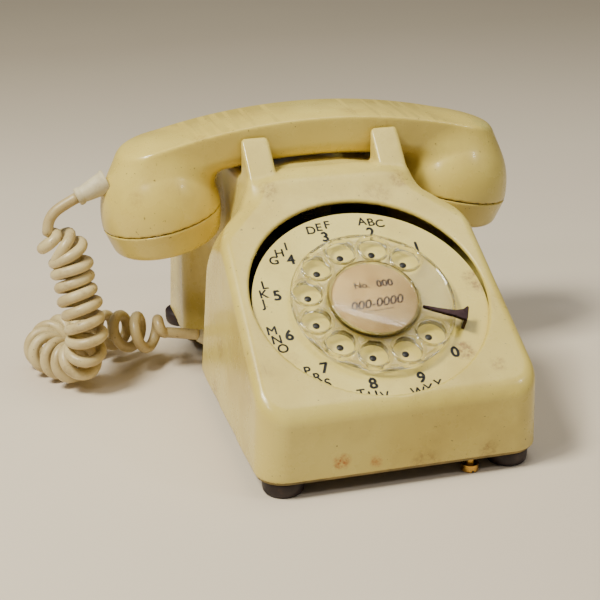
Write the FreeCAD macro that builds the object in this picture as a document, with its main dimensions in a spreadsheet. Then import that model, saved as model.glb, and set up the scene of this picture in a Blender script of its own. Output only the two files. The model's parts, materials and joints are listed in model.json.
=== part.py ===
import FreeCAD, Part
import math
import os
import re
import Sketcher
from types import SimpleNamespace
from FreeCAD import Placement, Rotation, Vector

# Rotary desk telephone. Millimetres, +X to the user's right, +Y to the back, +Z up.
# The origin is on the table, under the middle of the telephone.

os.makedirs("parts", exist_ok=True)
doc = FreeCAD.newDocument("Telephone")

SIZES = (
    # housing
    ("body_depth", 230.5), ("front_width", 135.0), ("rear_width", 121.0), ("side_draft", 0.03),
    ("front_corner", 14.0), ("rear_corner", 18.0), ("wall", 2.6), ("lip_round", 6.0),
    ("rear_wall_height", 40.0), ("base_gap", 0.4),
    # cradle
    ("cradle_setback", 100.0), ("cradle_height", 108.2), ("cap_clearance", 6.4),
    ("saddle_half_depth", 34.7), ("ear_width", 14.0), ("ear_margin", 6.7),
    ("ear_height", 18.8), ("grip_radius", 13.0), ("grip_width", 76.0),
    # base
    ("foot_height", 7.2), ("foot_radius", 9.7), ("foot_spacing", 107.8), ("foot_inset", 11.3),
    ("base_thickness", 1.2), ("base_inset", 1.4), ("screw_radius", 1.9), ("screw_head", 4.1),
    # dial
    ("dial_setback", 52.5), ("dial_height", 73.0), ("dial_tilt", 31.0), ("dial_opening", 56.5),
    ("plate_radius", 56.0), ("plate_drop", 5.1), ("plate_gap", 0.3), ("plate_thickness", 1.6),
    ("wheel_radius", 38.8), ("wheel_lift", 1.4), ("wheel_thickness", 2.8), ("hole_radius", 6.6),
    ("hole_circle", 30.1), ("card_radius", 20.3), ("card_thickness", 0.4), ("shaft_radius", 2.4),
    ("hub_rise", 3.0), ("well_depth", 1.8),
    ("running_gap", 0.06), ("first_hole", 45.0), ("stop_angle", 112.0), ("stop_width", 5.0),
    ("stop_thickness", 1.4),
    ("chassis_drop", 8.0), ("chassis_radius", 50.0), ("gear_teeth", 60.0), ("pinion_teeth", 12.0),
    ("gear_module", 0.65), ("gear_thickness", 1.2), ("gear_drop", 17.5), ("bridge_drop", 30.0),
    # cradle switch
    ("plunger_radius", 4.1), ("lever_reach", 22.0), ("pin_radius", 1.5),
    # bell
    ("gong_radius", 21.0), ("gong_height", 12.0), ("clapper_ball", 3.0), ("clapper_gap", 1.0),
    # handset
    ("cap_spacing", 153.2), ("cap_radius", 30.2), ("cap_depth", 15.0), ("cap_face_radius", 26.0),
    ("cap_tilt", 11.5), ("cap_wall", 2.4), ("bulb_height", 36.5), ("seam_drop", 47.8),
    ("seam_gap", 0.4), ("handle_width", 36.0), ("handle_depth", 22.8), ("handle_side", 16.8),
    ("handle_bow", 302.6), ("handle_tip", 20.0), ("rest_rise", 3.3),
    # cord
    ("cord_radius", 2.8), ("coil_radius", 11.0), ("boot_radius", 5.8), ("boot_length", 17.0),
)

PLACES = (
    ("dial_y", "dial_setback - body_depth / 2"),
    ("handset_y", "dial_y + cradle_setback"),
    ("base_top", "foot_height + base_thickness"),
    ("base_edge", "base_top + base_gap"),
    ("frame_y", "dial_y - plate_drop * cos(dial_tilt) + (wall + plate_gap) * sin(dial_tilt)"),
    ("frame_z", "dial_height - plate_drop * sin(dial_tilt) - (wall + plate_gap) * cos(dial_tilt)"),
    ("handle_under", "cradle_height + rest_rise"),
    ("handle_top", "handle_under + handle_depth"),
    ("seam_z", "handle_top - seam_drop"),
    ("cap_x", "cap_spacing / 2"),
    ("cradle_width", "cap_spacing - 2 * cap_radius - 2 * cap_clearance"),
    ("ear_spacing", "cradle_width - 2 * ear_margin"),
    ("foot_x", "foot_spacing / 2"),
    ("foot_front_y", "foot_inset - body_depth / 2"),
    ("foot_rear_y", "body_depth / 2 - foot_inset - 4"),
    ("gear_pitch", "gear_module * gear_teeth / 2"),
    ("pinion_pitch", "gear_module * pinion_teeth / 2"),
    ("gear_centres", "gear_pitch + pinion_pitch"),
    ("plunger_top", "handle_under - (ear_spacing / 2 + plunger_radius) ^ 2 / 2"
     " / (handle_bow - handle_depth) - 0.25"),
    ("lever_top", "cradle_height - 16.4"),
    ("pivot_y", "handset_y + lever_reach"),
    ("bell_y", "dial_y + 62"),
    ("gong_x", "gong_radius + clapper_ball + clapper_gap"),
    ("coil_y", "bell_y - gong_radius - 11"),
    ("loud_x", "21 - front_width / 2"),
    ("loud_y", "bell_y - 32"),
)

ALIASES = {name: "Sizes" for name, _ in SIZES}
ALIASES.update({name: "Places" for name, _ in PLACES})


def cell(text):
    """Turn an expression in plain words into one that names the sheets."""
    return re.sub(r"[a-z_]+", lambda m: ALIASES[m[0]] + "." + m[0] if m[0] in ALIASES else m[0], text)


def make_sheet(label, rows):
    sheet = doc.addObject("Spreadsheet::Sheet", label)
    for number, (name, content) in enumerate(rows, 1):
        sheet.set("A%d" % number, name)
        if label == "Places":
            sheet.set("B%d" % number, "=" + cell(content).replace("Places.", ""))
        else:
            sheet.set("B%d" % number, str(content))
        sheet.setAlias("B%d" % number, name)
    doc.recompute()
    return {name: float(sheet.get(name)) for name, _ in rows}


v = SimpleNamespace(**make_sheet("Sizes", SIZES))
p = SimpleNamespace(**make_sheet("Places", PLACES))
TILT = math.radians(v.dial_tilt)
nodes = []


# ---------------------------------------------------------------- document helpers

def bind(item, texts):
    for path, text in texts.items():
        item.setExpression(path, cell(text))
    return item


def place(item, x="0", y="0", z="0", turn=None):
    bind(item, {"Placement.Base.x": x, "Placement.Base.y": y, "Placement.Base.z": z})
    if turn:
        axis, angle = turn
        for letter, part in zip("xyz", axis):
            item.setExpression("Placement.Rotation.Axis." + letter, str(part))
        item.setExpression("Placement.Rotation.Angle", cell(angle))
    return item


AXIS_TURNS = {"X": ((0, 1, 0), "90"), "Y": ((1, 0, 0), "-90"), "Z": None}
DIAL_TURN = ((1, 0, 0), "dial_tilt")


def rod(name, radius, height, x="0", y="0", z="0", axis="Z"):
    item = bind(doc.addObject("Part::Cylinder", name), {"Radius": radius, "Height": height})
    return place(item, x, y, z, AXIS_TURNS[axis])


def ball(name, radius, x="0", y="0", z="0"):
    return place(bind(doc.addObject("Part::Sphere", name), {"Radius": radius}), x, y, z)


def block(name, length, width, height, x="0", y="0", z="0", turn=None):
    """A box centred on x, with its front at y and its bottom at z."""
    item = bind(doc.addObject("Part::Box", name), {"Length": length, "Width": width, "Height": height})
    return place(item, "%s - (%s) / 2" % (x, length), y, z, turn)


def fuse(name, items):
    item = doc.addObject("Part::MultiFuse", name)
    item.Shapes = items
    return item


def cut(name, base, *tools):
    for number, tool in enumerate(tools, 1):
        step = doc.addObject("Part::Cut", name if number == len(tools) else name + "_step")
        step.Base = base
        step.Tool = tool
        base = step
    return base


def node(label, item, turn=None, x="0", y="0", z="0"):
    """Name a finished sub-part and keep it for export."""
    item.Label = label
    if turn or (x, y, z) != ("0", "0", "0"):
        place(item, x, y, z, turn)
    nodes.append(item)
    return item


def dial_node(label, item, up="0", out="0"):
    """A sub-part drawn in the dial's own frame: z along the dial's axis, y up the slope."""
    y = "frame_y + (%s) * cos(dial_tilt) - (%s) * sin(dial_tilt)" % (up, out)
    z = "frame_z + (%s) * sin(dial_tilt) + (%s) * cos(dial_tilt)" % (up, out)
    return node(label, item, DIAL_TURN, "0", y, z)


def shape_item(name, shape, placement=Placement()):
    item = doc.addObject("Part::Feature", name)
    item.Shape = shape
    item.Placement = placement
    return item


def shape_node(label, shape, placement=Placement()):
    return node(label, shape_item(label, shape, placement))


# ---------------------------------------------------------------- sketch helpers

def new_body(name):
    return doc.addObject("PartDesign::Body", name)


def sketch_on(body, name, plane="XY_Plane", level="0"):
    sketch = body.newObject("Sketcher::SketchObject", name)
    origin = [item for item in body.Origin.OriginFeatures if item.Role == plane]
    sketch.AttachmentSupport = [(origin[0], "")]
    sketch.MapMode = "FlatFace"
    return bind(sketch, {"AttachmentOffset.Base.z": level})


def tie(sketch, kind, *target, text):
    start = (kind,) if kind == "Radius" else (kind, -1, 1)
    index = sketch.addConstraint(Sketcher.Constraint(*start, *target, 1.0))
    sketch.setExpression("Constraints[%d]" % index, cell(text))


def circle(sketch, radius, x="0", y="0"):
    index = sketch.addGeometry(Part.Circle(Vector(1, 1, 0), Vector(0, 0, 1), 1.0), False)
    tie(sketch, "Radius", index, text=radius)
    tie(sketch, "DistanceX", index, 3, text=x)
    tie(sketch, "DistanceY", index, 3, text=y)


def polygon(sketch, points):
    count = len(points)
    corners = [Vector(math.cos(6.2 * i / count), math.sin(6.2 * i / count), 0) for i in range(count)]
    first = len(sketch.Geometry)
    for i in range(count):
        sketch.addGeometry(Part.LineSegment(corners[i], corners[(i + 1) % count]), False)
    for i in range(count):
        following = first + (i + 1) % count
        sketch.addConstraint(Sketcher.Constraint("Coincident", first + i, 2, following, 1))
    for i, (x, y) in enumerate(points):
        tie(sketch, "DistanceX", first + i, 1, text=x)
        tie(sketch, "DistanceY", first + i, 1, text=y)


def feature(body, kind, name, sketch, texts):
    item = body.newObject("PartDesign::" + kind, name)
    item.Profile = sketch
    return bind(item, texts)


def revolve(body, name, points, plane="XZ_Plane"):
    sketch = sketch_on(body, name + "_outline", plane)
    polygon(sketch, points)
    item = body.newObject("PartDesign::Revolution", name)
    item.Profile = sketch
    item.ReferenceAxis = (sketch, ["V_Axis"])
    item.Angle = 360.0
    return item


def polar(body, original, name, count):
    item = body.newObject("PartDesign::PolarPattern", name)
    item.Originals = [original]
    z_axis = [part for part in body.Origin.OriginFeatures if part.Role == "Z_Axis"]
    item.Axis = (z_axis[0], [""])
    item.Angle = 360.0
    bind(item, {"Occurrences": count})
    body.Tip = item
    return item


# ---------------------------------------------------------------- housing

def face_height(y):
    """Height of the sloping dial face above the table at y."""
    return v.dial_height + (y - p.dial_y) * math.tan(TILT)


def filleted_wire(points, radii):
    """Closed wire through points, with an arc of the given radius at each corner."""
    arcs = []
    ends = []
    for i, point in enumerate(points):
        before = (points[i - 1] - point).normalize()
        after = (points[(i + 1) % len(points)] - point).normalize()
        half = before.getAngle(after) / 2
        reach = radii[i] / math.tan(half)
        start = point + before * reach
        end = point + after * reach
        middle = point + (before + after).normalize() * (radii[i] / math.sin(half) - radii[i])
        arcs.append(Part.Arc(start, middle, end).toShape())
        ends.append((start, end))
    edges = []
    for i, arc in enumerate(arcs):
        edges.append(arc)
        edges.append(Part.LineSegment(ends[i][1], ends[(i + 1) % len(points)][0]).toShape())
    return Part.Wire(edges)


def plan_wire(z, inset):
    """Outline of the body seen from above, at height z."""
    lean = v.side_draft * (z - p.base_edge) + inset
    front = v.front_width / 2 - lean
    rear = v.rear_width / 2 - lean
    end = v.body_depth / 2 - inset
    points = [Vector(-front, -end, z), Vector(front, -end, z), Vector(rear, end, z), Vector(-rear, end, z)]
    radii = [v.front_corner - inset] * 2 + [v.rear_corner - inset] * 2
    return filleted_wire(points, radii)


def side_profile(inset, bottom):
    """Outline of the body seen from the side, as a face in the plane x = 0."""
    front = -v.body_depth / 2
    rear = v.body_depth / 2
    saddle_front = p.handset_y - v.saddle_half_depth
    saddle_rear = p.handset_y + v.saddle_half_depth
    crest = face_height(saddle_front)
    corner = Vector(0, front, face_height(front))
    slope = Vector(0, math.cos(TILT), math.sin(TILT))
    reach = v.lip_round * math.tan((math.pi / 2 - TILT) / 2)
    low = corner - Vector(0, 0, reach)
    high = corner + slope * reach
    centre = low + Vector(0, v.lip_round, 0)
    middle = centre + (corner - centre).normalize() * v.lip_round
    crest_front = Vector(0, saddle_front, crest)
    crest_rear = Vector(0, saddle_rear, crest)
    saddle = Vector(0, p.handset_y, v.cradle_height)
    knee = Vector(0, rear, v.rear_wall_height)
    edges = [
        Part.LineSegment(Vector(0, front, bottom), low), Part.Arc(low, middle, high),
        Part.LineSegment(high, crest_front), Part.Arc(crest_front, saddle, crest_rear),
        Part.LineSegment(crest_rear, knee), Part.LineSegment(knee, Vector(0, rear, bottom)),
        Part.LineSegment(Vector(0, rear, bottom), Vector(0, front, bottom)),
    ]
    wire = Part.Wire([edge.toShape() for edge in edges])
    if inset > 0:
        wire = wire.makeOffset2D(-inset, 2)
    return Part.Face(wire)


SHOULDER_NORMAL = Vector(0.684, 0.408, 0.604)
SHOULDER_SETBACK = 39.0
REACH = 300.0


def shoulder_cutter(side, end, inset):
    """Space behind one sloping shoulder of the dial face; side and end are -1 or 1."""
    y = p.dial_y + SHOULDER_SETBACK
    half = v.front_width / 2 - v.side_draft * face_height(y) - 3.6
    point = Vector(half, y, face_height(y)) - SHOULDER_NORMAL * inset
    slab = Part.makeBox(REACH, REACH, REACH, Vector(-REACH / 2, -REACH / 2, 0))
    slab.Placement = Placement(point, Rotation(Vector(0, 0, 1), SHOULDER_NORMAL))
    keep = Part.makeBox(REACH, p.handset_y + REACH, REACH, Vector(0, -REACH, 0))
    cutter = slab.common(keep)
    if end > 0:
        cutter = cutter.mirror(Vector(0, p.handset_y, 0), Vector(0, 1, 0))
    if side < 0:
        cutter = cutter.mirror(Vector(0, 0, 0), Vector(1, 0, 0))
    return cutter


SCOOP_LOW = 24.0
SCOOP_HIGH = 36.5


def scoop_cutter(side, inset):
    """Hollow in the body's side that leaves room for one end of the handset."""
    centre = Vector(side * (p.cap_x + 0.9), p.handset_y, 0)
    top = p.seam_z - 2
    lower = Part.makeCone(SCOOP_LOW + inset, SCOOP_HIGH + inset, top, centre)
    upper = Part.makeCylinder(SCOOP_HIGH + inset, REACH, centre + Vector(0, 0, top))
    return lower.fuse(upper)


def cradle_block(inset):
    """The neck under the handle that carries the four ears."""
    low = p.seam_z - 20
    wires = []
    for z, flare in ((low, 4.0), (v.cradle_height + 12, 0.0)):
        half = p.cradle_width / 2 + flare - inset
        depth = v.saddle_half_depth + 6 + flare - inset
        corners = [Vector(-half, p.handset_y - depth, z), Vector(half, p.handset_y - depth, z),
                   Vector(half, p.handset_y + depth, z), Vector(-half, p.handset_y + depth, z)]
        wires.append(filleted_wire(corners, [5.0] * 4))
    return Part.makeLoft(wires, True, True)


def grip_cutter(inset):
    """Hollow across the back, under the cradle, for carrying the telephone by hand."""
    radius = v.grip_radius - inset
    y = p.handset_y + v.saddle_half_depth + 14
    cutter = Part.makeCylinder(radius, v.grip_width - 2 * inset,
                               Vector(-v.grip_width / 2 + inset, y, v.cradle_height - 20), Vector(1, 0, 0))
    return cutter


def body_block(inset, bottom):
    """Solid bounded by the housing's outside (inset 0) or inside (inset = wall)."""
    plan = Part.makeLoft([plan_wire(bottom, inset), plan_wire(160, inset)], True, True)
    side = side_profile(inset, bottom - inset)
    slab = side.extrude(Vector(REACH, 0, 0))
    slab.translate(Vector(-REACH / 2, 0, 0))
    block_shape = plan.common(slab)
    for side_sign in (-1, 1):
        for end_sign in (-1, 1):
            block_shape = block_shape.cut(shoulder_cutter(side_sign, end_sign, inset))
        block_shape = block_shape.cut(scoop_cutter(side_sign, inset))
    neck = cradle_block(inset).common(slab)
    return block_shape.fuse(neck).removeSplitter().cut(grip_cutter(-inset))


def ear_shape(side, end):
    """One ear of the cradle; side and end are -1 or 1."""
    height = v.cradle_height
    front = v.saddle_half_depth + 6.3
    back = v.handle_width / 2 + 0.6
    outline = [(-front, -14), (-front, -2), (-front + 12, v.ear_height - 6), (-back - 2.2, v.ear_height),
               (-back - 0.2, v.ear_height - 2.5), (-back, -14)]
    points = [Vector(0, p.handset_y + y, height + z) for y, z in outline]
    solid = Part.Face(Part.makePolygon(points + points[:1])).extrude(Vector(v.ear_width, 0, 0))
    solid.translate(Vector(p.ear_spacing / 2 - v.ear_width / 2, 0, 0))
    edges = [edge for edge in solid.Edges if edge.BoundBox.ZMax > height - 1]
    solid = solid.makeFillet(1.1, edges)
    if end > 0:
        solid = solid.mirror(Vector(0, p.handset_y, 0), Vector(0, 1, 0))
    if side < 0:
        solid = solid.mirror(Vector(0, 0, 0), Vector(1, 0, 0))
    return solid


def dial_axis():
    return Vector(0, -math.sin(TILT), math.cos(TILT))


CORD_ENTRY = Vector(-50.0, 36.0, 13.2)
CORD_ENTRY_DIRECTION = Vector(-0.88, 0.03, 0.47)
FRONT_SCREW = Vector(33.5, 5.6, 0)
REAR_SCREW = Vector(0, 5.6, 0)


def screw_places():
    """Plan positions of the front and rear housing screws."""
    front = Vector(FRONT_SCREW.x, FRONT_SCREW.y - v.body_depth / 2, 0)
    rear = Vector(REAR_SCREW.x, v.body_depth / 2 - REAR_SCREW.y, 0)
    return front, rear


def make_housing():
    shell = body_block(0, p.base_edge).cut(body_block(v.wall, p.base_edge - 8))
    for side in (-1, 1):
        for end in (-1, 1):
            shell = shell.fuse(ear_shape(side, end))
    for place_xy in screw_places():
        boss = Part.makeCylinder(3.6, 14, Vector(place_xy.x, place_xy.y, p.base_edge + 3))
        bore = Part.makeCylinder(v.screw_radius + 0.15, 12, Vector(place_xy.x, place_xy.y, p.base_edge))
        shell = shell.fuse(boss).cut(bore)
    centre = Vector(0, p.dial_y, v.dial_height)
    shell = shell.cut(Part.makeCylinder(v.dial_opening, 40, centre - dial_axis() * 12, dial_axis()))
    for side in (-1, 1):
        hole = Part.makeCylinder(v.plunger_radius + v.running_gap, 40,
                                 Vector(side * p.ear_spacing / 2, p.handset_y, v.cradle_height - 20))
        shell = shell.cut(hole)
    notch = Part.makeBox(16, 13, 14, Vector(CORD_ENTRY.x - 10, CORD_ENTRY.y - 6.5, p.base_edge - 4))
    line_notch = Part.makeBox(9, 14, 7, Vector(-40, v.body_depth / 2 - 8, p.base_edge - 3))
    shell = shell.cut(notch).cut(line_notch).removeSplitter()
    return shape_node("housing", shell)


# ---------------------------------------------------------------- base

def make_base():
    body = new_body("BasePlate")
    outline = sketch_on(body, "base_outline", level="foot_height")
    front = "(front_width / 2 - base_inset)"
    rear = "(rear_width / 2 - base_inset)"
    end = "(body_depth / 2 - base_inset)"
    polygon(outline, [("-" + front, "-" + end), (front, "-" + end), (rear, end), ("-" + rear, end)])
    plate = feature(body, "Pad", "base_pad", outline, {"Length": "base_thickness"})
    doc.recompute()
    round_plan_corners(body, plate)
    holes = sketch_on(body, "base_holes", level="base_top")
    for side in ("-", ""):
        circle(holes, "%.1f + base_inset" % SCOOP_LOW, side + "(cap_x + 0.9)", "handset_y")
    feature(body, "Pocket", "base_scoops", holes, {"Length": "base_thickness * 2"})
    screws = sketch_on(body, "base_screw_holes", level="base_top")
    circle(screws, "screw_radius + 0.2", str(FRONT_SCREW.x), "%.1f - body_depth / 2" % FRONT_SCREW.y)
    circle(screws, "screw_radius + 0.2", "0", "body_depth / 2 - %.1f" % REAR_SCREW.y)
    feature(body, "Pocket", "base_screw_pocket", screws, {"Length": "base_thickness * 2"})
    slot = sketch_on(body, "loudness_slot", level="base_top")
    polygon(slot, [("loud_x - 8", "loud_y - 8"), ("loud_x - 2.8", "loud_y - 8"),
                   ("loud_x - 2.8", "loud_y + 8"), ("loud_x - 8", "loud_y + 8")])
    feature(body, "Pocket", "loudness_pocket", slot, {"Length": "base_thickness * 2"})
    node("base_plate", body)

    feet = []
    for index, (side, y) in enumerate((("-", "foot_front_y"), ("", "foot_front_y"),
                                       ("-", "foot_rear_y"), ("", "foot_rear_y"))):
        name = "foot_%d" % index
        pad_part = rod(name, "foot_radius", "foot_height - 0.02", side + "foot_x", y)
        rim = doc.addObject("Part::Chamfer", name + "_rim")
        doc.recompute()
        rim.Base = pad_part
        rim.Edges = [(3, 0.8, 0.8)]
        feet.append(rim)
    node("rubber_feet", fuse("RubberFeet", feet))

    front_y = "%.1f - body_depth / 2" % FRONT_SCREW.y
    head = rod("front_head", "screw_head", "3.2", str(FRONT_SCREW.x), front_y, "0.5")
    shank = rod("front_shank", "screw_radius", "16", str(FRONT_SCREW.x), front_y, "3.4")
    slot = block("front_slot", "1.1", "screw_head * 3", "1.1", str(FRONT_SCREW.x),
                 front_y + " - screw_head * 1.5", "0.2")
    node("housing_screw_front", cut("FrontScrew", fuse("front_screw_body", [head, shank]), slot))
    rear_y = "body_depth / 2 - %.1f" % REAR_SCREW.y
    head = rod("rear_head", "screw_head", "3.2", "0", rear_y, "foot_height - 3.25")
    shank = rod("rear_shank", "screw_radius", "12", "0", rear_y, "foot_height - 0.2")
    slot = block("rear_slot", "1.1", "screw_head * 3", "1.1", "0", rear_y + " - screw_head * 1.5",
                 "foot_height - 3.5")
    node("housing_screw_rear", cut("RearScrew", fuse("rear_screw_body", [head, shank]), slot))


def round_plan_corners(body, plate):
    names = []
    for number, edge in enumerate(plate.Shape.Edges, 1):
        if edge.BoundBox.ZLength > v.base_thickness / 2:
            names.append("Edge%d" % number)
    item = body.newObject("PartDesign::Fillet", "base_corners")
    item.Base = (plate, names)
    bind(item, {"Radius": "front_corner - base_inset"})
    doc.recompute()


# ---------------------------------------------------------------- dial

def make_dial_plates():
    body = new_body("NumberPlate")
    ring = sketch_on(body, "plate_ring", level="-plate_thickness")
    circle(ring, "plate_radius")
    circle(ring, "card_radius / 2")
    feature(body, "Pad", "plate_pad", ring, {"Length": "plate_thickness"})
    skirt = sketch_on(body, "plate_skirt", level="-5")
    circle(skirt, "plate_radius - 2")
    circle(skirt, "plate_radius - 3.6")
    feature(body, "Pad", "skirt_pad", skirt, {"Length": "5 - plate_thickness / 2"})
    flat = sketch_on(body, "plate_flat", level="1")
    low = "-(dial_opening - plate_drop + 0.6)"
    polygon(flat, [("-plate_radius", "-plate_radius - 5"), ("plate_radius", "-plate_radius - 5"),
                   ("plate_radius", low), ("-plate_radius", low)])
    feature(body, "Pocket", "flat_pocket", flat, {"Length": "8"})
    dial_node("number_plate", body)

    body = new_body("DialChassis")
    disc = sketch_on(body, "chassis_disc", level="-chassis_drop - 1.5")
    circle(disc, "chassis_radius")
    circle(disc, "shaft_radius + running_gap")
    feature(body, "Pad", "chassis_pad", disc, {"Length": "1.5"})
    collar = sketch_on(body, "chassis_collar", level="-chassis_drop - 6")
    circle(collar, "shaft_radius + 3")
    circle(collar, "shaft_radius + running_gap")
    feature(body, "Pad", "collar_pad", collar, {"Length": "5"})
    dial_node("dial_chassis", body)

    posts = []
    for index, angle in enumerate((60, 180, 300)):
        x = "(chassis_radius - 4) * sin(%d)" % angle
        y = "(chassis_radius - 4) * cos(%d)" % angle
        posts.append(rod("dial_post_%d" % index, "2", "chassis_drop - plate_thickness - 0.02", x, y,
                         "-chassis_drop + 0.01"))
    dial_node("dial_posts", fuse("DialPosts", posts))


def make_finger_wheel():
    body = new_body("FingerWheel")
    disc = sketch_on(body, "wheel_disc", level="wheel_lift")
    circle(disc, "wheel_radius")
    feature(body, "Pad", "wheel_pad", disc, {"Length": "wheel_thickness"})
    lip = sketch_on(body, "wheel_lip", level="wheel_lift - 1")
    circle(lip, "wheel_radius")
    circle(lip, "wheel_radius - 1.4")
    feature(body, "Pad", "lip_pad", lip, {"Length": "1.5"})
    hub = sketch_on(body, "wheel_hub", level="-3")
    circle(hub, "card_radius / 2 - 1.5")
    feature(body, "Pad", "hub_pad", hub, {"Length": "3.2 + wheel_lift"})
    boss = sketch_on(body, "wheel_boss", level="wheel_lift + wheel_thickness / 2")
    circle(boss, "card_radius + 1.4")
    feature(body, "Pad", "boss_pad", boss, {"Length": "wheel_thickness / 2 + hub_rise"})
    well = sketch_on(body, "card_well", level="wheel_lift + wheel_thickness + hub_rise")
    circle(well, "card_radius + 0.3")
    feature(body, "Pocket", "well_pocket", well, {"Length": "well_depth"})
    bore = sketch_on(body, "wheel_bore", level="wheel_lift + wheel_thickness + hub_rise")
    circle(bore, "shaft_radius + 0.02")
    feature(body, "Pocket", "bore_pocket", bore, {"Length": "wheel_lift + wheel_thickness + hub_rise + 5"})
    hole = sketch_on(body, "finger_hole", level="wheel_lift + wheel_thickness")
    circle(hole, "hole_radius", "hole_circle * sin(first_hole)", "hole_circle * cos(first_hole)")
    cutter = feature(body, "Pocket", "finger_pocket", hole, {"Length": "wheel_thickness * 2"})
    pattern = polar(body, cutter, "finger_holes", "10")
    pattern.Angle = 270.0
    pattern.Reversed = False
    dial_node("finger_wheel", body)


def make_card():
    level = "wheel_lift + wheel_thickness + hub_rise - well_depth + 0.02"
    dial_node("number_card", rod("NumberCard", "card_radius - 0.4", "card_thickness"), out=level)
    body = new_body("CardRetainer")
    high = "wheel_lift + wheel_thickness + hub_rise"
    low = high + " - well_depth + card_thickness + 0.1"
    revolve(body, "retainer", [("0", low), ("card_radius", low), ("card_radius", high + " - 0.1"),
                               ("card_radius * 0.8", high + " + 0.6"), ("0", high + " + 0.9")])
    dial_node("card_retainer", body)


def make_finger_stop():
    """Claw that hooks over the wheel's edge and stops the finger."""
    inner = v.card_radius + 2.2
    outer = v.wheel_radius + 1.2
    back = outer + v.stop_thickness
    middle = (inner + outer) / 2
    low = v.wheel_lift + v.wheel_thickness + 1.4
    half = v.stop_width / 2
    turn = Rotation(Vector(0, 0, 1), 90 - v.stop_angle)

    def spot(x, y, z):
        return turn.multVec(Vector(x, y, z))

    tip = spot(inner, 0, low)
    edges = [
        Part.Arc(tip, spot(middle, -half * 0.9, low), spot(outer, -half * 0.6, low)),
        Part.LineSegment(spot(outer, -half * 0.6, low), spot(back, -half * 1.5, low)),
        Part.LineSegment(spot(back, -half * 1.5, low), spot(back, half * 1.5, low)),
        Part.Arc(spot(back, half * 1.5, low), spot(middle, half * 0.5, low), tip),
    ]
    claw = Part.Face(Part.Wire([edge.toShape() for edge in edges]))
    claw = claw.extrude(Vector(0, 0, v.stop_thickness))
    foot = [spot(x, y, 0.02) for x, y in ((outer, -half), (back, -half), (back, half), (outer, half))]
    leg = Part.Face(Part.makePolygon(foot + foot[:1])).extrude(Vector(0, 0, low + v.stop_thickness - 0.02))
    dial_node("finger_stop", shape_item("FingerStop", claw.fuse(leg).removeSplitter()))


def gear_body(name, teeth, pitch, level, bore, first_angle):
    """Spur gear with slender teeth, which leave room for the mating wheel."""
    body = new_body(name)
    disc = sketch_on(body, name + "_disc", level=level)
    circle(disc, pitch + " - gear_module * 0.9")
    circle(disc, bore)
    feature(body, "Pad", name + "_pad", disc, {"Length": "gear_thickness"})
    tooth = sketch_on(body, name + "_tooth", level=level)
    root = "(%s - gear_module * 1.1)" % pitch
    tip = "(%s + gear_module * 0.6)" % pitch
    corners = ((root, "-0.42"), (tip, "-0.17"), (tip, "0.17"), (root, "0.42"))
    points = []
    for along, across in corners:
        side = "(%s) * gear_module" % across
        points.append(("%s * cos(%s) - %s * sin(%s)" % (along, first_angle, side, first_angle),
                       "%s * sin(%s) + %s * cos(%s)" % (along, first_angle, side, first_angle)))
    polygon(tooth, points)
    pad = feature(body, "Pad", name + "_tooth_pad", tooth, {"Length": "gear_thickness"})
    polar(body, pad, name + "_teeth", teeth)
    return body


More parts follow.
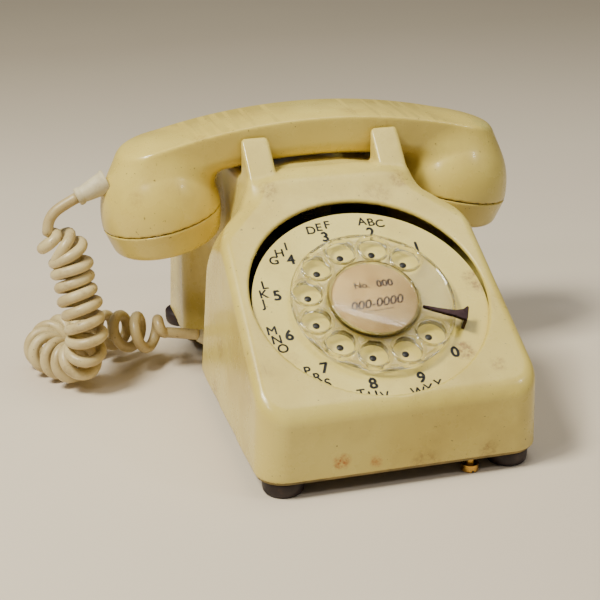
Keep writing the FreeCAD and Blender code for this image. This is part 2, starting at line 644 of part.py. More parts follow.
def make_movement():
    above = "wheel_lift + wheel_thickness + hub_rise - well_depth - 0.2"
    dial_node("dial_shaft", rod("DialShaft", "shaft_radius", "bridge_drop + 3 + " + above),
              out="-bridge_drop - 3")
    level = "(-gear_drop)"
    dial_node("main_gear", gear_body("MainGear", "gear_teeth", "gear_pitch", level,
                                     "shaft_radius + 0.01", "90"))
    pinion = gear_body("GovernorPinion", "pinion_teeth", "pinion_pitch", level, "1.01", "(75)")
    dial_node("governor_pinion", pinion, up="gear_centres")

    arbor = rod("arbor", "1", "bridge_drop - chassis_drop - 2.6", "0", "gear_centres", "1 - bridge_drop")
    bar = block("fly_bar", "14", "2.4", "1.2", "0", "gear_centres - 1.2", "-bridge_drop + 4")
    weights = []
    for side in ("-", ""):
        weights.append(rod("weight" + ("_left" if side else "_right"), "2", "3.4", side + "6",
                           "gear_centres", "-bridge_drop + 3"))
    dial_node("governor_weights", fuse("GovernorWeights", [arbor, bar] + weights))

    outer = rod("cup_outer", "10.5", "7", "0", "gear_centres", "-bridge_drop + 1.55")
    inner = rod("cup_inner", "9.3", "7", "0", "gear_centres", "-bridge_drop + 2.55")
    hole = rod("cup_hole", "1.06", "9", "0", "gear_centres", "-bridge_drop + 1")
    dial_node("governor_cup", cut("GovernorCup", outer, inner, hole))

    plate = block("bridge_plate", "16", "gear_centres + gear_pitch + 16", "1.5", "0",
                  "-gear_pitch - 3", "-bridge_drop")
    legs = []
    for index, y in enumerate(("-gear_pitch - 3", "gear_centres + 11.6")):
        legs.append(block("bridge_leg_%d" % index, "12", "1.4", "bridge_drop - chassis_drop - 1.55",
                          "0", y, "-bridge_drop"))
    shaft_hole = rod("bridge_hole", "shaft_radius + running_gap", "6", "0", "0", "-bridge_drop - 2")
    arbor_hole = rod("arbor_hole", "1.06", "6", "0", "gear_centres", "-bridge_drop - 2")
    dial_node("dial_bridge", cut("DialBridge", fuse("bridge_body", [plate] + legs), shaft_hole, arbor_hole))

    lobes = [rod("cam_disc", "6.5", "1.4", "0", "0", "-gear_drop - 3")]
    for angle in (90, 210, 330):
        lobes.append(rod("cam_lobe_%d" % angle, "2", "1.4", "5.6 * cos(%d)" % angle,
                         "5.6 * sin(%d)" % angle, "-gear_drop - 3"))
    bore = rod("cam_bore", "shaft_radius + 0.01", "6", "0", "0", "-gear_drop - 5")
    dial_node("pulse_cam", cut("PulseCam", fuse("cam_body", lobes), bore))

    springs = []
    for index in range(4):
        springs.append(block("pulse_blade_%d" % index, "1.0", "30", "4", "%d" % (-12 - 2 * index),
                             "-34", "-gear_drop - 4"))
    stack = block("pulse_block", "12", "8", "8", "-15", "-36", "-gear_drop - 6")
    post = block("pulse_post", "6", "5", "gear_drop + 6 - chassis_drop - 1.5", "-15", "-35",
                 "-gear_drop - 6")
    dial_node("pulse_contacts", fuse("PulseContacts", springs + [stack, post]))

    spring = shape_item("DialSpring", spiral_spring(v.shaft_radius + 3.8, 1.6, 5, 0.4, 4.0))
    dial_node("dial_return_spring", spring, out="2.1 - gear_drop")

    brackets = []
    for side in ("-", ""):
        name = "bracket" + ("_left" if side else "_right")
        x = side + "(chassis_radius - 6)"
        foot = block(name + "_foot", "10", "12", "1.4", x, "frame_y - 6", "base_top + 0.01")
        web = block(name + "_web", "1.6", "12", "24", x, "frame_y - 6", "base_top + 0.01")
        brackets.append(fuse(name, [foot, web]))
    node("dial_brackets", fuse("DialBrackets", brackets))


def spiral_spring(inner, pitch, half_turns, thickness, width):
    """Flat strip wound outwards round the z axis in half turns, standing on z = 0."""
    sides = []
    for radius_change in (thickness / 2, -thickness / 2):
        centre = 0.0
        side = []
        for index in range(half_turns):
            radius = inner + pitch / 2 * index + radius_change
            way = 1 if index % 2 == 0 else -1
            start = Vector(centre + way * radius, 0, 0)
            side.append(Part.Arc(start, Vector(centre, way * radius, 0), Vector(centre - way * radius, 0, 0)))
            centre += way * pitch / 2
        sides.append(side)
    caps = [Part.LineSegment(sides[0][end].value(spot), sides[1][end].value(spot))
            for end, spot in ((0, sides[0][0].FirstParameter), (-1, sides[0][-1].LastParameter))]
    edges = [edge.toShape() for edge in sides[0] + sides[1] + caps]
    strip = Part.Face(Part.Wire(Part.__sortEdges__(edges)))
    return strip.extrude(Vector(0, 0, width))


def wire_spring(pitch, height, radius, wire_radius):
    """Round wire wound round the z axis, starting at z = 0."""
    helix = Part.makeHelix(pitch, height, radius)
    start = Part.Wire(Part.makeCircle(wire_radius, Vector(radius, 0, 0), Vector(0, 1, 0)))
    return Part.Wire(helix.Edges).makePipeShell([start], True, True)


# ---------------------------------------------------------------- cradle switch

def make_hook_switch():
    for side, label in (("-", "left"), ("", "right")):
        x = side + "ear_spacing / 2"
        stem = rod("stem_" + label, "plunger_radius", "plunger_top - lever_top - 0.2", x, "handset_y",
                   "lever_top + 0.2")
        flange = rod("flange_" + label, "plunger_radius + 1", "1.4", x, "handset_y", "lever_top + 4")
        node("plunger_" + label, fuse("Plunger_" + label, [stem, flange]))
    bar = block("lever_bar", "ear_spacing + 6", "7", "2", "0", "handset_y - 3.5", "lever_top - 2")
    arms = []
    lugs = []
    for side, label in (("-", "left"), ("", "right")):
        arms.append(block("arm_" + label, "3", "lever_reach", "5", side + "14", "handset_y", "lever_top - 5"))
        lugs.append(rod("lug_" + label, "4", "3", side + "14 - 1.5", "pivot_y", "lever_top - 2.5", "X"))
    bore = rod("lever_bore", "pin_radius + running_gap", "60", "-30", "pivot_y", "lever_top - 2.5", "X")
    node("hook_lever", cut("HookLever", fuse("lever_body", [bar] + arms + lugs), bore))
    node("hook_pin", rod("HookPin", "pin_radius", "42", "-21", "pivot_y", "lever_top - 2.5", "X"))

    web = block("hook_web", "42", "1.6", "lever_top - base_top + 2", "0", "pivot_y + 6", "base_top + 0.01")
    foot = block("hook_foot", "42", "12", "1.6", "0", "pivot_y - 4.4", "base_top + 0.01")
    cheeks = []
    for side, label in (("-", "left"), ("", "right")):
        cheeks.append(block("cheek_" + label, "2", "12", "9", side + "18.5", "pivot_y - 4.6",
                            "lever_top - 7"))
    bore = rod("cheek_bore", "pin_radius + 0.01", "60", "-30", "pivot_y", "lever_top - 2.5", "X")
    node("hook_bracket", cut("HookBracket", fuse("hook_frame", [web, foot] + cheeks), bore))

    blades = [block("contact_block", "18", "8", "14", "0", "pivot_y - 2.02", "lever_top - 36")]
    for index in range(4):
        blades.append(block("contact_blade_%d" % index, "12", "22", "0.5", "0", "handset_y - 2",
                            "lever_top - 34 + %.1f" % (3.2 * index)))
    node("hook_contacts", fuse("HookContacts", blades))
    spring_place = Placement(Vector(0, p.handset_y - 0.2, p.lever_top - 16.2), Rotation())
    shape_node("hook_spring", wire_spring(2.2, 13.2, 3.2, 0.35), spring_place)


# ---------------------------------------------------------------- bell and circuit

def make_bell():
    plate = block("bell_plate", "72", "58", "1.5", "0", "bell_y - 44", "base_top + 1.01")
    ledges = [block("bell_ledge_%d" % i, "72", "4", "1.2", "0", "bell_y - %d" % d, "base_top + 0.01")
              for i, d in enumerate((44, -10))]
    cheeks = [block("bell_cheek_%d" % i, "1.6", "12", "20", x, "coil_y - 6", "base_top + 1.01")
              for i, x in enumerate(("-18", "18"))]
    seat = rod("bell_seat", "3.01", "50", "-25", "coil_y", "base_top + 11.6", "X")
    node("bell_frame", cut("BellFrame", fuse("bell_body", [plate] + ledges + cheeks), seat))
    for side, label in (("-", "left"), ("", "right")):
        x = side + "gong_x"
        body = new_body("Gong_" + label)
        revolve(body, "bowl_" + label, [
            ("3", "gong_height - 1.2"), ("gong_radius * 0.72", "gong_height - 1.6"),
            ("gong_radius - 1.6", "gong_height * 0.62"), ("gong_radius - 1.2", "0"),
            ("gong_radius", "0"), ("gong_radius - 0.4", "gong_height * 0.66"),
            ("gong_radius * 0.74", "gong_height - 0.3"), ("3", "gong_height")])
        node("gong_" + label, body, None, x, "bell_y", "base_top + 12")
        body.setExpression("Placement.Base.x", cell(x))
        post = rod("gong_stud_" + label, "2.9", "gong_height + 9.2", x, "bell_y", "base_top + 2.52")
        head = rod("gong_head_" + label, "4.6", "2", x, "bell_y", "base_top + 12.1 + gong_height")
        stem = rod("gong_stem_" + label, "1.6", "3.1", x, "bell_y", "base_top + 11 + gong_height")
        node("gong_post_" + label, fuse("GongPost_" + label, [post, head, stem]))
    coil = rod("coil_wire", "8.5", "30", "-15", "coil_y", "base_top + 11.6", "X")
    flanges = [rod("coil_flange_%d" % i, "9", "1.4", x, "coil_y", "base_top + 11.6", "X")
               for i, x in enumerate(("-16.4", "15"))]
    core_hole = rod("coil_hole", "3.05", "50", "-25", "coil_y", "base_top + 11.6", "X")
    node("bell_coil", cut("BellCoil", fuse("coil_body", [coil] + flanges), core_hole))
    node("bell_core", rod("BellCore", "3", "40", "-20", "coil_y", "base_top + 11.6", "X"))
    stem = block("clapper_stem", "1.6", "30", "1.2", "0", "bell_y - 14", "base_top + 22")
    hub = rod("clapper_hub", "3", "3", "0", "bell_y - 14", "base_top + 21.1")
    head = ball("clapper_head", "clapper_ball", "0", "bell_y", "base_top + 17")
    drop = rod("clapper_drop", "0.8", "5", "0", "bell_y", "base_top + 17.5")
    trim = block("clapper_trim", "4", "20", "6", "0", "bell_y + 1", "base_top + 20")
    bore = rod("clapper_bore", "1.2 + running_gap", "8", "0", "bell_y - 14", "base_top + 18")
    node("clapper", cut("Clapper", fuse("clapper_body", [stem, hub, head, drop]), trim, bore))
    node("clapper_pin", rod("ClapperPin", "1.2", "23", "0", "bell_y - 14", "base_top + 2.52"))
    wheel = rod("loud_disc", "9", "2.4", "loud_x", "loud_y", "base_top + 2")
    grooves = []
    for index in range(24):
        angle = 15 * index
        grooves.append(rod("loud_groove_%d" % index, "0.5", "4",
                           "loud_x + 9.2 * cos(%d)" % angle,
                           "loud_y + 9.2 * sin(%d)" % angle, "base_top + 1"))
    hole = rod("loud_bore", "2 + running_gap", "6", "loud_x", "loud_y", "base_top")
    node("loudness_wheel", cut("LoudnessWheel", wheel, fuse("loud_grooves", grooves), hole))
    node("loudness_pin", rod("LoudnessPin", "2", "6", "loud_x", "loud_y",
                             "base_top + 0.01"))


def make_network():
    case = block("network_case", "62", "27", "24", "0", "pivot_y + 12", "base_top + 0.01")
    rim = block("network_rim", "66", "31", "2", "0", "pivot_y + 10", "base_top + 24")
    node("network_block", fuse("NetworkBlock", [case, rim]))
    screws = []
    for row in range(2):
        for column in range(7):
            screws.append(rod("terminal_%d_%d" % (row, column), "1.9", "1.6", "%d" % (-24 + 8 * column),
                              "pivot_y + %d" % (17 + 17 * row), "base_top + 26.02"))
    node("terminal_screws", fuse("TerminalScrews", screws))


# ---------------------------------------------------------------- handset

def handle_section(inset):
    """Cross-section of the handle in the plane x = 0, flat on top and rounded below."""
    half = v.handle_width / 2 - inset
    top = p.handle_top - inset
    low = p.handle_top - v.handle_side
    left = Vector(0, -half + 0.8, low)
    right = Vector(0, half - 0.8, low)
    under = Vector(0, 0, p.handle_under + inset)
    edges = [
        Part.LineSegment(Vector(0, -half, top), Vector(0, half, top)),
        Part.LineSegment(Vector(0, half, top), right), Part.Arc(right, under, left),
        Part.LineSegment(left, Vector(0, -half, top)),
    ]
    face = Part.Face(Part.Wire([edge.toShape() for edge in edges]))
    face.translate(Vector(0, p.handset_y, 0))
    return face


def handle_bar(inset, half_length):
    """The bowed bar of the handle, with round ends."""
    centre = Vector(0, p.handset_y, p.handle_top - v.handle_bow)
    swing = math.degrees(math.asin((half_length + 2) / v.handle_bow))
    face = handle_section(inset)
    face.rotate(centre, Vector(0, 1, 0), -swing)
    bar = face.revolve(centre, Vector(0, 1, 0), 2 * swing)
    half = v.handle_width / 2 - inset
    corners = [Vector(-half_length, p.handset_y - half, 60), Vector(half_length, p.handset_y - half, 60),
               Vector(half_length, p.handset_y + half, 60), Vector(-half_length, p.handset_y + half, 60)]
    plan = Part.Face(filleted_wire(corners, [half - 0.5] * 4)).extrude(Vector(0, 0, 100))
    return bar.common(plan)


def seam_place(side):
    """Frame of a cap's seam: z points up into the handle."""
    tilt = Rotation(Vector(0, 1, 0), side * v.cap_tilt)
    return Placement(Vector(side * p.cap_x, p.handset_y, p.seam_z), tilt)


def bulb(side, inset):
    """Domed end of the handle above a cap."""
    radius = v.cap_radius - inset
    height = v.bulb_height - inset
    curve = Part.Ellipse(Vector(0, height, 0), Vector(radius, 0, 0), Vector(0, 0, 0))
    dome = Part.ArcOfEllipse(curve, 0, math.pi / 2).toShape()
    ends = sorted((vertex.Point for vertex in dome.Vertexes), key=lambda point: point.y)
    edges = [dome, Part.LineSegment(ends[1], Vector(0, 0, 0)).toShape(),
             Part.LineSegment(Vector(0, 0, 0), ends[0]).toShape()]
    face = Part.Face(Part.Wire(Part.__sortEdges__(edges)))
    solid = face.revolve(Vector(0, 0, 0), Vector(0, 1, 0), 360)
    solid.rotate(Vector(0, 0, 0), Vector(1, 0, 0), 90)
    solid.Placement = seam_place(side).multiply(solid.Placement)
    return solid


def boot_frame():
    """Where the handset's cord boot leaves the left end, and which way it points."""
    start = Vector(-p.cap_x - v.cap_radius + 3.4, p.handset_y, p.seam_z + 19.2)
    return start, Vector(-0.9, 0, -0.42).normalize()


def make_handset():
    outer = handle_bar(0, p.cap_x + v.handle_tip)
    top_face = max(outer.Faces, key=lambda face: face.CenterOfMass.z)
    outer = outer.makeFillet(1.2, top_face.Edges)
    inner = handle_bar(v.cap_wall, p.cap_x)
    for side in (-1, 1):
        outer = outer.fuse(bulb(side, 0))
        inner = inner.fuse(bulb(side, v.cap_wall))
    start, direction = boot_frame()
    boot = Part.makeCone(v.boot_radius, v.cord_radius + 0.6, v.boot_length, start, direction)
    handle = outer.cut(inner).cut(boot).removeSplitter()
    shape_node("handset_handle", handle)
    bored = boot.cut(Part.makeCylinder(v.cord_radius - 0.6, 6, start - direction, direction))
    shape_node("handset_cord_boot", bored)
    for side, label in ((-1, "transmitter"), (1, "receiver")):
        make_cap(side, label)


def make_cap(side, label):
    radius = v.cap_radius
    wall = v.cap_wall
    depth = v.cap_depth
    face_radius = v.cap_face_radius
    outline = [
        (radius - 3.6, 4), (radius - 2.9, 4), (radius - 2.9, -v.seam_gap), (radius, -v.seam_gap),
        (radius - 0.4, -4), (face_radius + 1.2, -depth + 2), (face_radius - 1.4, -depth), (0, -depth),
        (0, -depth + wall), (face_radius - wall, -depth + wall), (radius - wall - 1.2, -4),
        (radius - 3.6, 0),
    ]
    points = [Vector(x, 0, z) for x, z in outline]
    solid = Part.Face(Part.makePolygon(points + points[:1])).revolve(Vector(), Vector(0, 0, 1), 360)
    for ring, count in ((0, 1), (4.5, 6), (9, 12)):
        for index in range(count):
            angle = 2 * math.pi * index / count
            centre = Vector(ring * math.cos(angle), ring * math.sin(angle), -depth - 1)
            solid = solid.cut(Part.makeCylinder(1.0, wall + 2, centre))
    shape_node(label + "_cap", solid, seam_place(side))
    capsule = Part.makeCylinder(face_radius - wall - 0.6, 8, Vector(0, 0, -depth + wall + 0.3))
    stub = Part.makeCylinder(12, 5, Vector(0, 0, -depth + wall + 8.3))
    shape_node(label + "_capsule", capsule.fuse(stub), seam_place(side))


# ---------------------------------------------------------------- handset cord

# Points after the handset boot's tip, down to the top of the coil.
LEAD_ROUTE = (
    (-131.8, 37.2, 91.0), (-134.4, 37.0, 84.4), (-132.6, 36.6, 77.8), (-128.0, 36.0, 72.2),
)
# The middle line of the coil: down to the table, round to the back and in to the housing.
COIL_ROUTE = (
    (-124.0, 35.0, 72.0), (-122.6, 30.5, 56.0), (-120.2, 24.5, 40.0), (-119.2, 21.8, 28.0),
    (-121.4, 24.6, 18.0), (-126.4, 31.6, 12.0), (-132.4, 41.0, 11.4), (-136.6, 52.0, 11.5),
    (-135.8, 63.4, 11.6), (-128.2, 72.0, 11.6), (-117.0, 73.0, 12.2), (-108.0, 66.0, 14.2),
    (-101.0, 56.6, 16.8), (-93.0, 47.6, 19.4), (-83.0, 41.2, 20.8), (-72.0, 37.4, 20.6),
)


def route_tube(points, radius):
    """Tube along straight runs joined by tangent arcs; returns it with its arc radii and length."""
    spots = [Vector(*point) for point in points]
    edges = []
    radii = []
    start = spots[0]
    for before, corner, after in zip(spots, spots[1:], spots[2:]):
        back = before - corner
        ahead = after - corner
        turn = math.pi - back.getAngle(ahead)
        shorter = min(back.Length, ahead.Length)
        bend = 0.45 * shorter / math.tan(turn / 2)
        back.normalize()
        ahead.normalize()
        reach = bend * math.tan(turn / 2)
        enter = corner + back * reach
        leave = corner + ahead * reach
        middle = corner + (back + ahead).normalize() * (bend / math.cos(turn / 2) - bend)
        edges.append(Part.LineSegment(start, enter).toShape())
        edges.append(Part.Arc(enter, middle, leave).toShape())
        radii.append(round(bend, 1))
        start = leave
    edges.append(Part.LineSegment(start, spots[-1]).toShape())
    path = Part.Wire(edges)
    profile = Part.Wire(Part.makeCircle(radius, spots[0], spots[1] - spots[0]))
    tube = path.makePipeShell([profile], True, True)
    return tube, radii, path.Length


def make_cord():
    start, direction = boot_frame()
    tip = start + direction * v.boot_length
    lead_points = (tip, tip + direction * 7.5) + LEAD_ROUTE
    tubes = {}
    for label, points, radius in (("handset_cord_lead", lead_points, v.cord_radius),
                                  ("handset_cord_coil", COIL_ROUTE, v.coil_radius)):
        tube, radii, length = route_tube(points, radius)
        share = tube.Volume / (math.pi * radius ** 2 * length)
        print(label, "radii", radii, "length", round(length, 1), "volume share", round(share, 3))
        shape_node(label, tube)
        tubes[label] = tube
    coil_end = Vector(*COIL_ROUTE[-1])
    boot_tip = CORD_ENTRY + CORD_ENTRY_DIRECTION * 11.0
    run = boot_tip - coil_end
    tail = Part.makeCylinder(v.cord_radius, run.Length, coil_end, run)
    keep = Part.makeCone(v.cord_radius + 0.5, v.cord_radius + 1.6, 11.0, boot_tip, CORD_ENTRY_DIRECTION * -1)
    flange = Part.makeBox(2.0, 11.0, 8.0, Vector(CORD_ENTRY.x, CORD_ENTRY.y - 5.5, p.base_top + 0.01))
    shape_node("body_cord_boot", keep.fuse(flange).removeSplitter())
    shape_node("handset_cord_tail", tail.cut(keep).cut(tubes["handset_cord_coil"]))


# ---------------------------------------------------------------- build

def check_and_write():
    doc.recompute()
    for item in doc.Objects:
        if "Invalid" in item.State or "Error" in item.State:
            raise RuntimeError("%s did not build: %s" % (item.Name, item.State))
    for item in nodes:
        if item.Shape.isNull() or not item.Shape.isValid():
            raise RuntimeError("%s has no valid shape" % item.Label)
    for item in nodes:
        item.Shape.exportStep("parts/%s.step" % item.Label)
    print(len(nodes), "sub-parts written")


make_housing()
make_base()
make_dial_plates()
make_finger_wheel()
make_card()
make_finger_stop()
make_movement()
make_hook_switch()
make_bell()
make_network()
make_handset()
make_cord()
check_and_write()
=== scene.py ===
import json
import math
import random

import bmesh
import bpy
import numpy as np
from mathutils import Matrix, Vector


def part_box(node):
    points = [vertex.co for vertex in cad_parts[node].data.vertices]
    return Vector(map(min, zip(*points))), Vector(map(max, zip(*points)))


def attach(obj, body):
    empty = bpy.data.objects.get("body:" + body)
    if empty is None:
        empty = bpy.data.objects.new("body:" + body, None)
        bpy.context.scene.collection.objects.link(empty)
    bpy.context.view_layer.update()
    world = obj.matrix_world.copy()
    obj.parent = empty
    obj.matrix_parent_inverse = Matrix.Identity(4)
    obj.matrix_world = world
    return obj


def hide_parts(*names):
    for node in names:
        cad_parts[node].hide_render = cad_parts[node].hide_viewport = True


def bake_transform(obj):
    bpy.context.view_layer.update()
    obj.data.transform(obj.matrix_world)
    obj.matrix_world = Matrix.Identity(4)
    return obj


# Rotary desk telephone: moulded shells, dial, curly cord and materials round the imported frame.
# +X is to the user's right, +Y to the back and +Z up, from the table under the telephone's middle.
# Names and numbers without a unit in their comment are millimetres and are scaled by MM at the end.

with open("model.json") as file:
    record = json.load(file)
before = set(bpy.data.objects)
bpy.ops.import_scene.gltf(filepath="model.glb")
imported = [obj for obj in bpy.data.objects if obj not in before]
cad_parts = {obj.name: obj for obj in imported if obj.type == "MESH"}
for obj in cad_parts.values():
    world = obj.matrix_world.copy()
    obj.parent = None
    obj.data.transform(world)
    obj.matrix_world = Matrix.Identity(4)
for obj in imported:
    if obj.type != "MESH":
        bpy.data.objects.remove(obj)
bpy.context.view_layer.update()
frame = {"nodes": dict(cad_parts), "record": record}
nodes = frame["nodes"]
random.seed(5)

MM = 0.001

# body
BODY_END = 115.25
HALF_FRONT = 67.5
HALF_REAR = 60.5
SIDE_DRAFT = 0.03
FRONT_CORNER = 14
REAR_CORNER = 18
WALL = 2.6
BASE_EDGE = 8.8
REAR_WALL = 40
OPENING_RADIUS = 56.5

# cradle
HANDSET_Y = 37.25
SADDLE_HALF = 34.7
CRADLE_TOP = 108.2
NECK_HALF = 40.0
EAR_X = 33.3
EAR_HALF = 7.0
GRIP_RADIUS = 13

# dial
DIAL_Y = -62.75
DIAL_Z = 73.0
TILT = math.radians(31)
PLATE_DROP = 5.1
PLATE_LIFT = 2.9
FRAME_Y = DIAL_Y - PLATE_DROP * math.cos(TILT) + PLATE_LIFT * math.sin(TILT)
FRAME_Z = DIAL_Z - PLATE_DROP * math.sin(TILT) - PLATE_LIFT * math.cos(TILT)
WHEEL_RADIUS = 38.8
WHEEL_LOW = 1.7
WHEEL_HIGH = 4.5
BOSS_RADIUS = 21.7
BOSS_HIGH = 7.2
CARD_LEVEL = 5.42
HOLE_CIRCLE = 30.1
DIGIT_CIRCLE = 44.2
LETTER_CIRCLE = 50.6
STOP_ANGLE = 112

# handset
CAP_X = 76.6
CAP_RADIUS = 30.2
CAP_DEPTH = 15
CAP_WALL = 2.4
CAP_TILT = math.radians(11.5)
SEAM_Z = 86.5
BULB_HEIGHT = 36.5
HANDLE_TOP = CRADLE_TOP + 3.3 + 22.8
HANDLE_BOW = 302.6
HANDLE_END = 96.6


# ---------------------------------------------------------------- fields and meshes

def round_and(a, b, radius):
    """Both fields at once, with the edge between them rounded."""
    corner = np.hypot(np.maximum(a + radius, 0), np.maximum(b + radius, 0))
    return np.minimum(-radius, np.maximum(a, b)) + corner


def round_or(a, b, radius):
    """Either field, with a fillet in the corner between them."""
    return -round_and(-a, -b, radius)


def new_object(name, points, faces, smooth=True):
    mesh = bpy.data.meshes.new(name)
    mesh.from_pydata([tuple(point) for point in points], [], [list(face) for face in faces])
    mesh.validate()
    mesh.polygons.foreach_set("use_smooth", [smooth] * len(mesh.polygons))
    piece = bpy.data.objects.new(name, mesh)
    bpy.context.scene.collection.objects.link(piece)
    return piece


def cell_rings(value, axis):
    """Crossings of the field along one axis, and the four cells round each crossing."""
    low = [slice(None)] * 3
    high = [slice(None)] * 3
    low[axis] = slice(0, -1)
    high[axis] = slice(1, None)
    first, second = value[tuple(low)], value[tuple(high)]
    where = np.argwhere((first < 0) != (second < 0))
    others = [k for k in range(3) if k != axis]
    for k in others:
        where = where[(where[:, k] > 0) & (where[:, k] < value.shape[k] - 1)]
    before, after = first[tuple(where.T)], second[tuple(where.T)]
    crossing = where.astype(float)
    crossing[:, axis] += before / (before - after)
    rings = []
    for step_u, step_v in ((0, 0), (1, 0), (1, 1), (0, 1)):
        cell = where.copy()
        cell[:, others[0]] -= step_u
        cell[:, others[1]] -= step_v
        rings.append(np.ravel_multi_index(cell.T, [n - 1 for n in value.shape]))
    ring = np.stack(rings, 1)
    flip = (before > 0) ^ (axis == 1)
    ring[flip] = ring[flip][:, ::-1]
    return crossing, ring


def settle(points, field, cell, rounds=4):
    """Move points on to the surface, along the field's slope."""
    step = 0.05
    for _ in range(rounds):
        x, y, z = points.T
        value = field(x, y, z)
        slope = np.stack([field(x + step, y, z) - field(x - step, y, z),
                          field(x, y + step, z) - field(x, y - step, z),
                          field(x, y, z + step) - field(x, y, z - step)], 1) / (2 * step)
        size = np.maximum((slope ** 2).sum(1), 0.2)
        move = -(value / size)[:, None] * slope
        reach = np.maximum(np.linalg.norm(move, axis=1), 1e-9)
        points = points + move * np.minimum(1, 0.4 * cell / reach)[:, None]
    return points


def field_piece(name, field, low, high, cell):
    """Mesh of the surface where the field is zero."""
    axes = [np.arange(a, b + cell, cell) for a, b in zip(low, high)]
    value = field(*np.meshgrid(*axes, indexing="ij"))
    found = [cell_rings(value, axis) for axis in range(3)]
    spots = np.concatenate([np.repeat(crossing, 4, axis=0) for crossing, _ in found])
    owners = np.concatenate([ring.ravel() for _, ring in found])
    used, inverse = np.unique(owners, return_inverse=True)
    count = np.bincount(inverse)
    points = np.stack([np.bincount(inverse, spots[:, k]) / count for k in range(3)], 1)
    points = settle(points * cell + np.array(low), field, cell)
    faces = np.searchsorted(used, np.concatenate([ring for _, ring in found]))
    return new_object(name, points * MM, faces)


def thin_out(piece, ratio):
    """Drop the mesh's surplus faces and keep its shape."""
    modifier = piece.modifiers.new("thin", "DECIMATE")
    modifier.ratio = ratio
    apply_modifiers(piece)
    return piece


def apply_modifiers(piece):
    bpy.context.view_layer.update()
    shaped = bpy.data.meshes.new_from_object(piece.evaluated_get(bpy.context.evaluated_depsgraph_get()))
    piece.modifiers.clear()
    piece.data = shaped
    return piece


def lathe(name, profile, place, steps=64):
    """Turn (radius, height) points, in millimetres, about the z axis of place."""
    points = []
    faces = []
    rings = []
    for radius, height in profile:
        if radius < 1e-6:
            rings.append([len(points)] * steps)
            points.append(place @ Vector((0, 0, height * MM)))
            continue
        rings.append(list(range(len(points), len(points) + steps)))
        for k in range(steps):
            angle = 2 * math.pi * k / steps
            spot = Vector((radius * math.cos(angle), radius * math.sin(angle), height))
            points.append(place @ (spot * MM))
    for low, high in zip(rings, rings[1:] + rings[:1]):
        for k in range(steps):
            following = (k + 1) % steps
            face = list(dict.fromkeys((low[k], low[following], high[following], high[k])))
            if len(face) > 2:
                faces.append(face)
    return new_object(name, points, faces)


def join(name, pieces):
    """One object from several; the others are removed."""
    mesh = bmesh.new()
    for piece in pieces:
        part = piece.data.copy()
        part.transform(piece.matrix_world)
        mesh.from_mesh(part)
        bpy.data.meshes.remove(part)
        bpy.data.objects.remove(piece)
    data = bpy.data.meshes.new(name)
    mesh.to_mesh(data)
    mesh.free()
    whole = bpy.data.objects.new(name, data)
    bpy.context.scene.collection.objects.link(whole)
    return whole


def finish_piece(piece, body, slot, material, *replaced):
    piece.data.materials.clear()
    piece.data.materials.append(material)
    if body:
        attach(piece, body)
    if replaced:
        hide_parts(*replaced)
    return piece


# ---------------------------------------------------------------- materials

class Nodes:
    """A short way to write a material's nodes."""

    def __init__(self, name):
        self.material = bpy.data.materials.new(name)
        self.material.use_nodes = True
        self.tree = self.material.node_tree
        self.shader = self.tree.nodes["Principled BSDF"]
        self.place = self.add("ShaderNodeTexCoord").outputs["Object"]

    def add(self, kind, inputs=None, **values):
        node = self.tree.nodes.new(kind)
        for key, value in values.items():
            setattr(node, key, value)
        for key, value in (inputs or {}).items():
            self.put(value, node.inputs[key])
        return node

    def put(self, value, socket):
        if isinstance(value, bpy.types.NodeSocket):
            self.tree.links.new(value, socket)
        else:
            socket.default_value = value

    def noise(self, scale, detail=4.0, rough=0.55, place=None, stretch=None):
        place = place or self.place
        if stretch:
            mapping = self.add("ShaderNodeMapping", {"Vector": place, "Scale": stretch})
            place = mapping.outputs["Vector"]
        node = self.add("ShaderNodeTexNoise", {"Vector": place, "Scale": scale, "Detail": detail,
                                               "Roughness": rough})
        return node.outputs["Fac"]

    def band(self, value, low, high, bottom=0.0, top=1.0):
        """Value from low to high, spread over bottom to top."""
        node = self.add("ShaderNodeMapRange", {"Value": value, "From Min": low, "From Max": high,
                                               "To Min": bottom, "To Max": top})
        node.clamp = True
        return node.outputs["Result"]

    def math(self, kind, a, b=0.0):
        return self.add("ShaderNodeMath", {0: a, 1: b}, operation=kind).outputs["Value"]

    def mix(self, share, a, b):
        node = self.add("ShaderNodeMix", data_type="RGBA")
        self.put(share, node.inputs["Factor"])
        self.put(a, node.inputs[6])
        self.put(b, node.inputs[7])
        return node.outputs[2]

    def near(self, centre, radius, blur=0.5, wobble=0.35):
        """1 at a spot, in millimetres, fading out at the radius with a ragged edge."""
        offset = self.add("ShaderNodeVectorMath", {0: self.place, 1: [c * MM for c in centre]},
                          operation="DISTANCE").outputs["Value"]
        reach = radius * MM
        ragged = self.add("ShaderNodeMath", {0: self.noise(2.2 / reach), 1: wobble * 2 * reach, 2: offset},
                          operation="MULTIPLY_ADD").outputs["Value"]
        return self.band(ragged, reach * (1 - blur + wobble), reach * (1 + wobble), 1.0, 0.0)

    def bump(self, height, strength, distance):
        node = self.add("ShaderNodeBump", {"Height": height, "Strength": strength, "Distance": distance})
        self.put(node.outputs["Normal"], self.shader.inputs["Normal"])

    def set(self, **values):
        for key, value in values.items():
            self.put(value, self.shader.inputs[key.replace("_", " ")])
        return self


def rgb(red, green, blue):
    """Colour from the usual 0 to 255 values, made linear."""
    return [((value / 255 + 0.055) / 1.055) ** 2.4 if value > 10 else value / 255 / 12.92
            for value in (red, green, blue)] + [1.0]


IVORY = rgb(219, 200, 112)
IVORY_DEEP = rgb(202, 179, 88)
GRIME = rgb(132, 92, 46)
DARK_GRIME = rgb(66, 44, 28)
ORANGE_STAIN = rgb(176, 104, 36)
GREEN_STAIN = rgb(150, 156, 92)


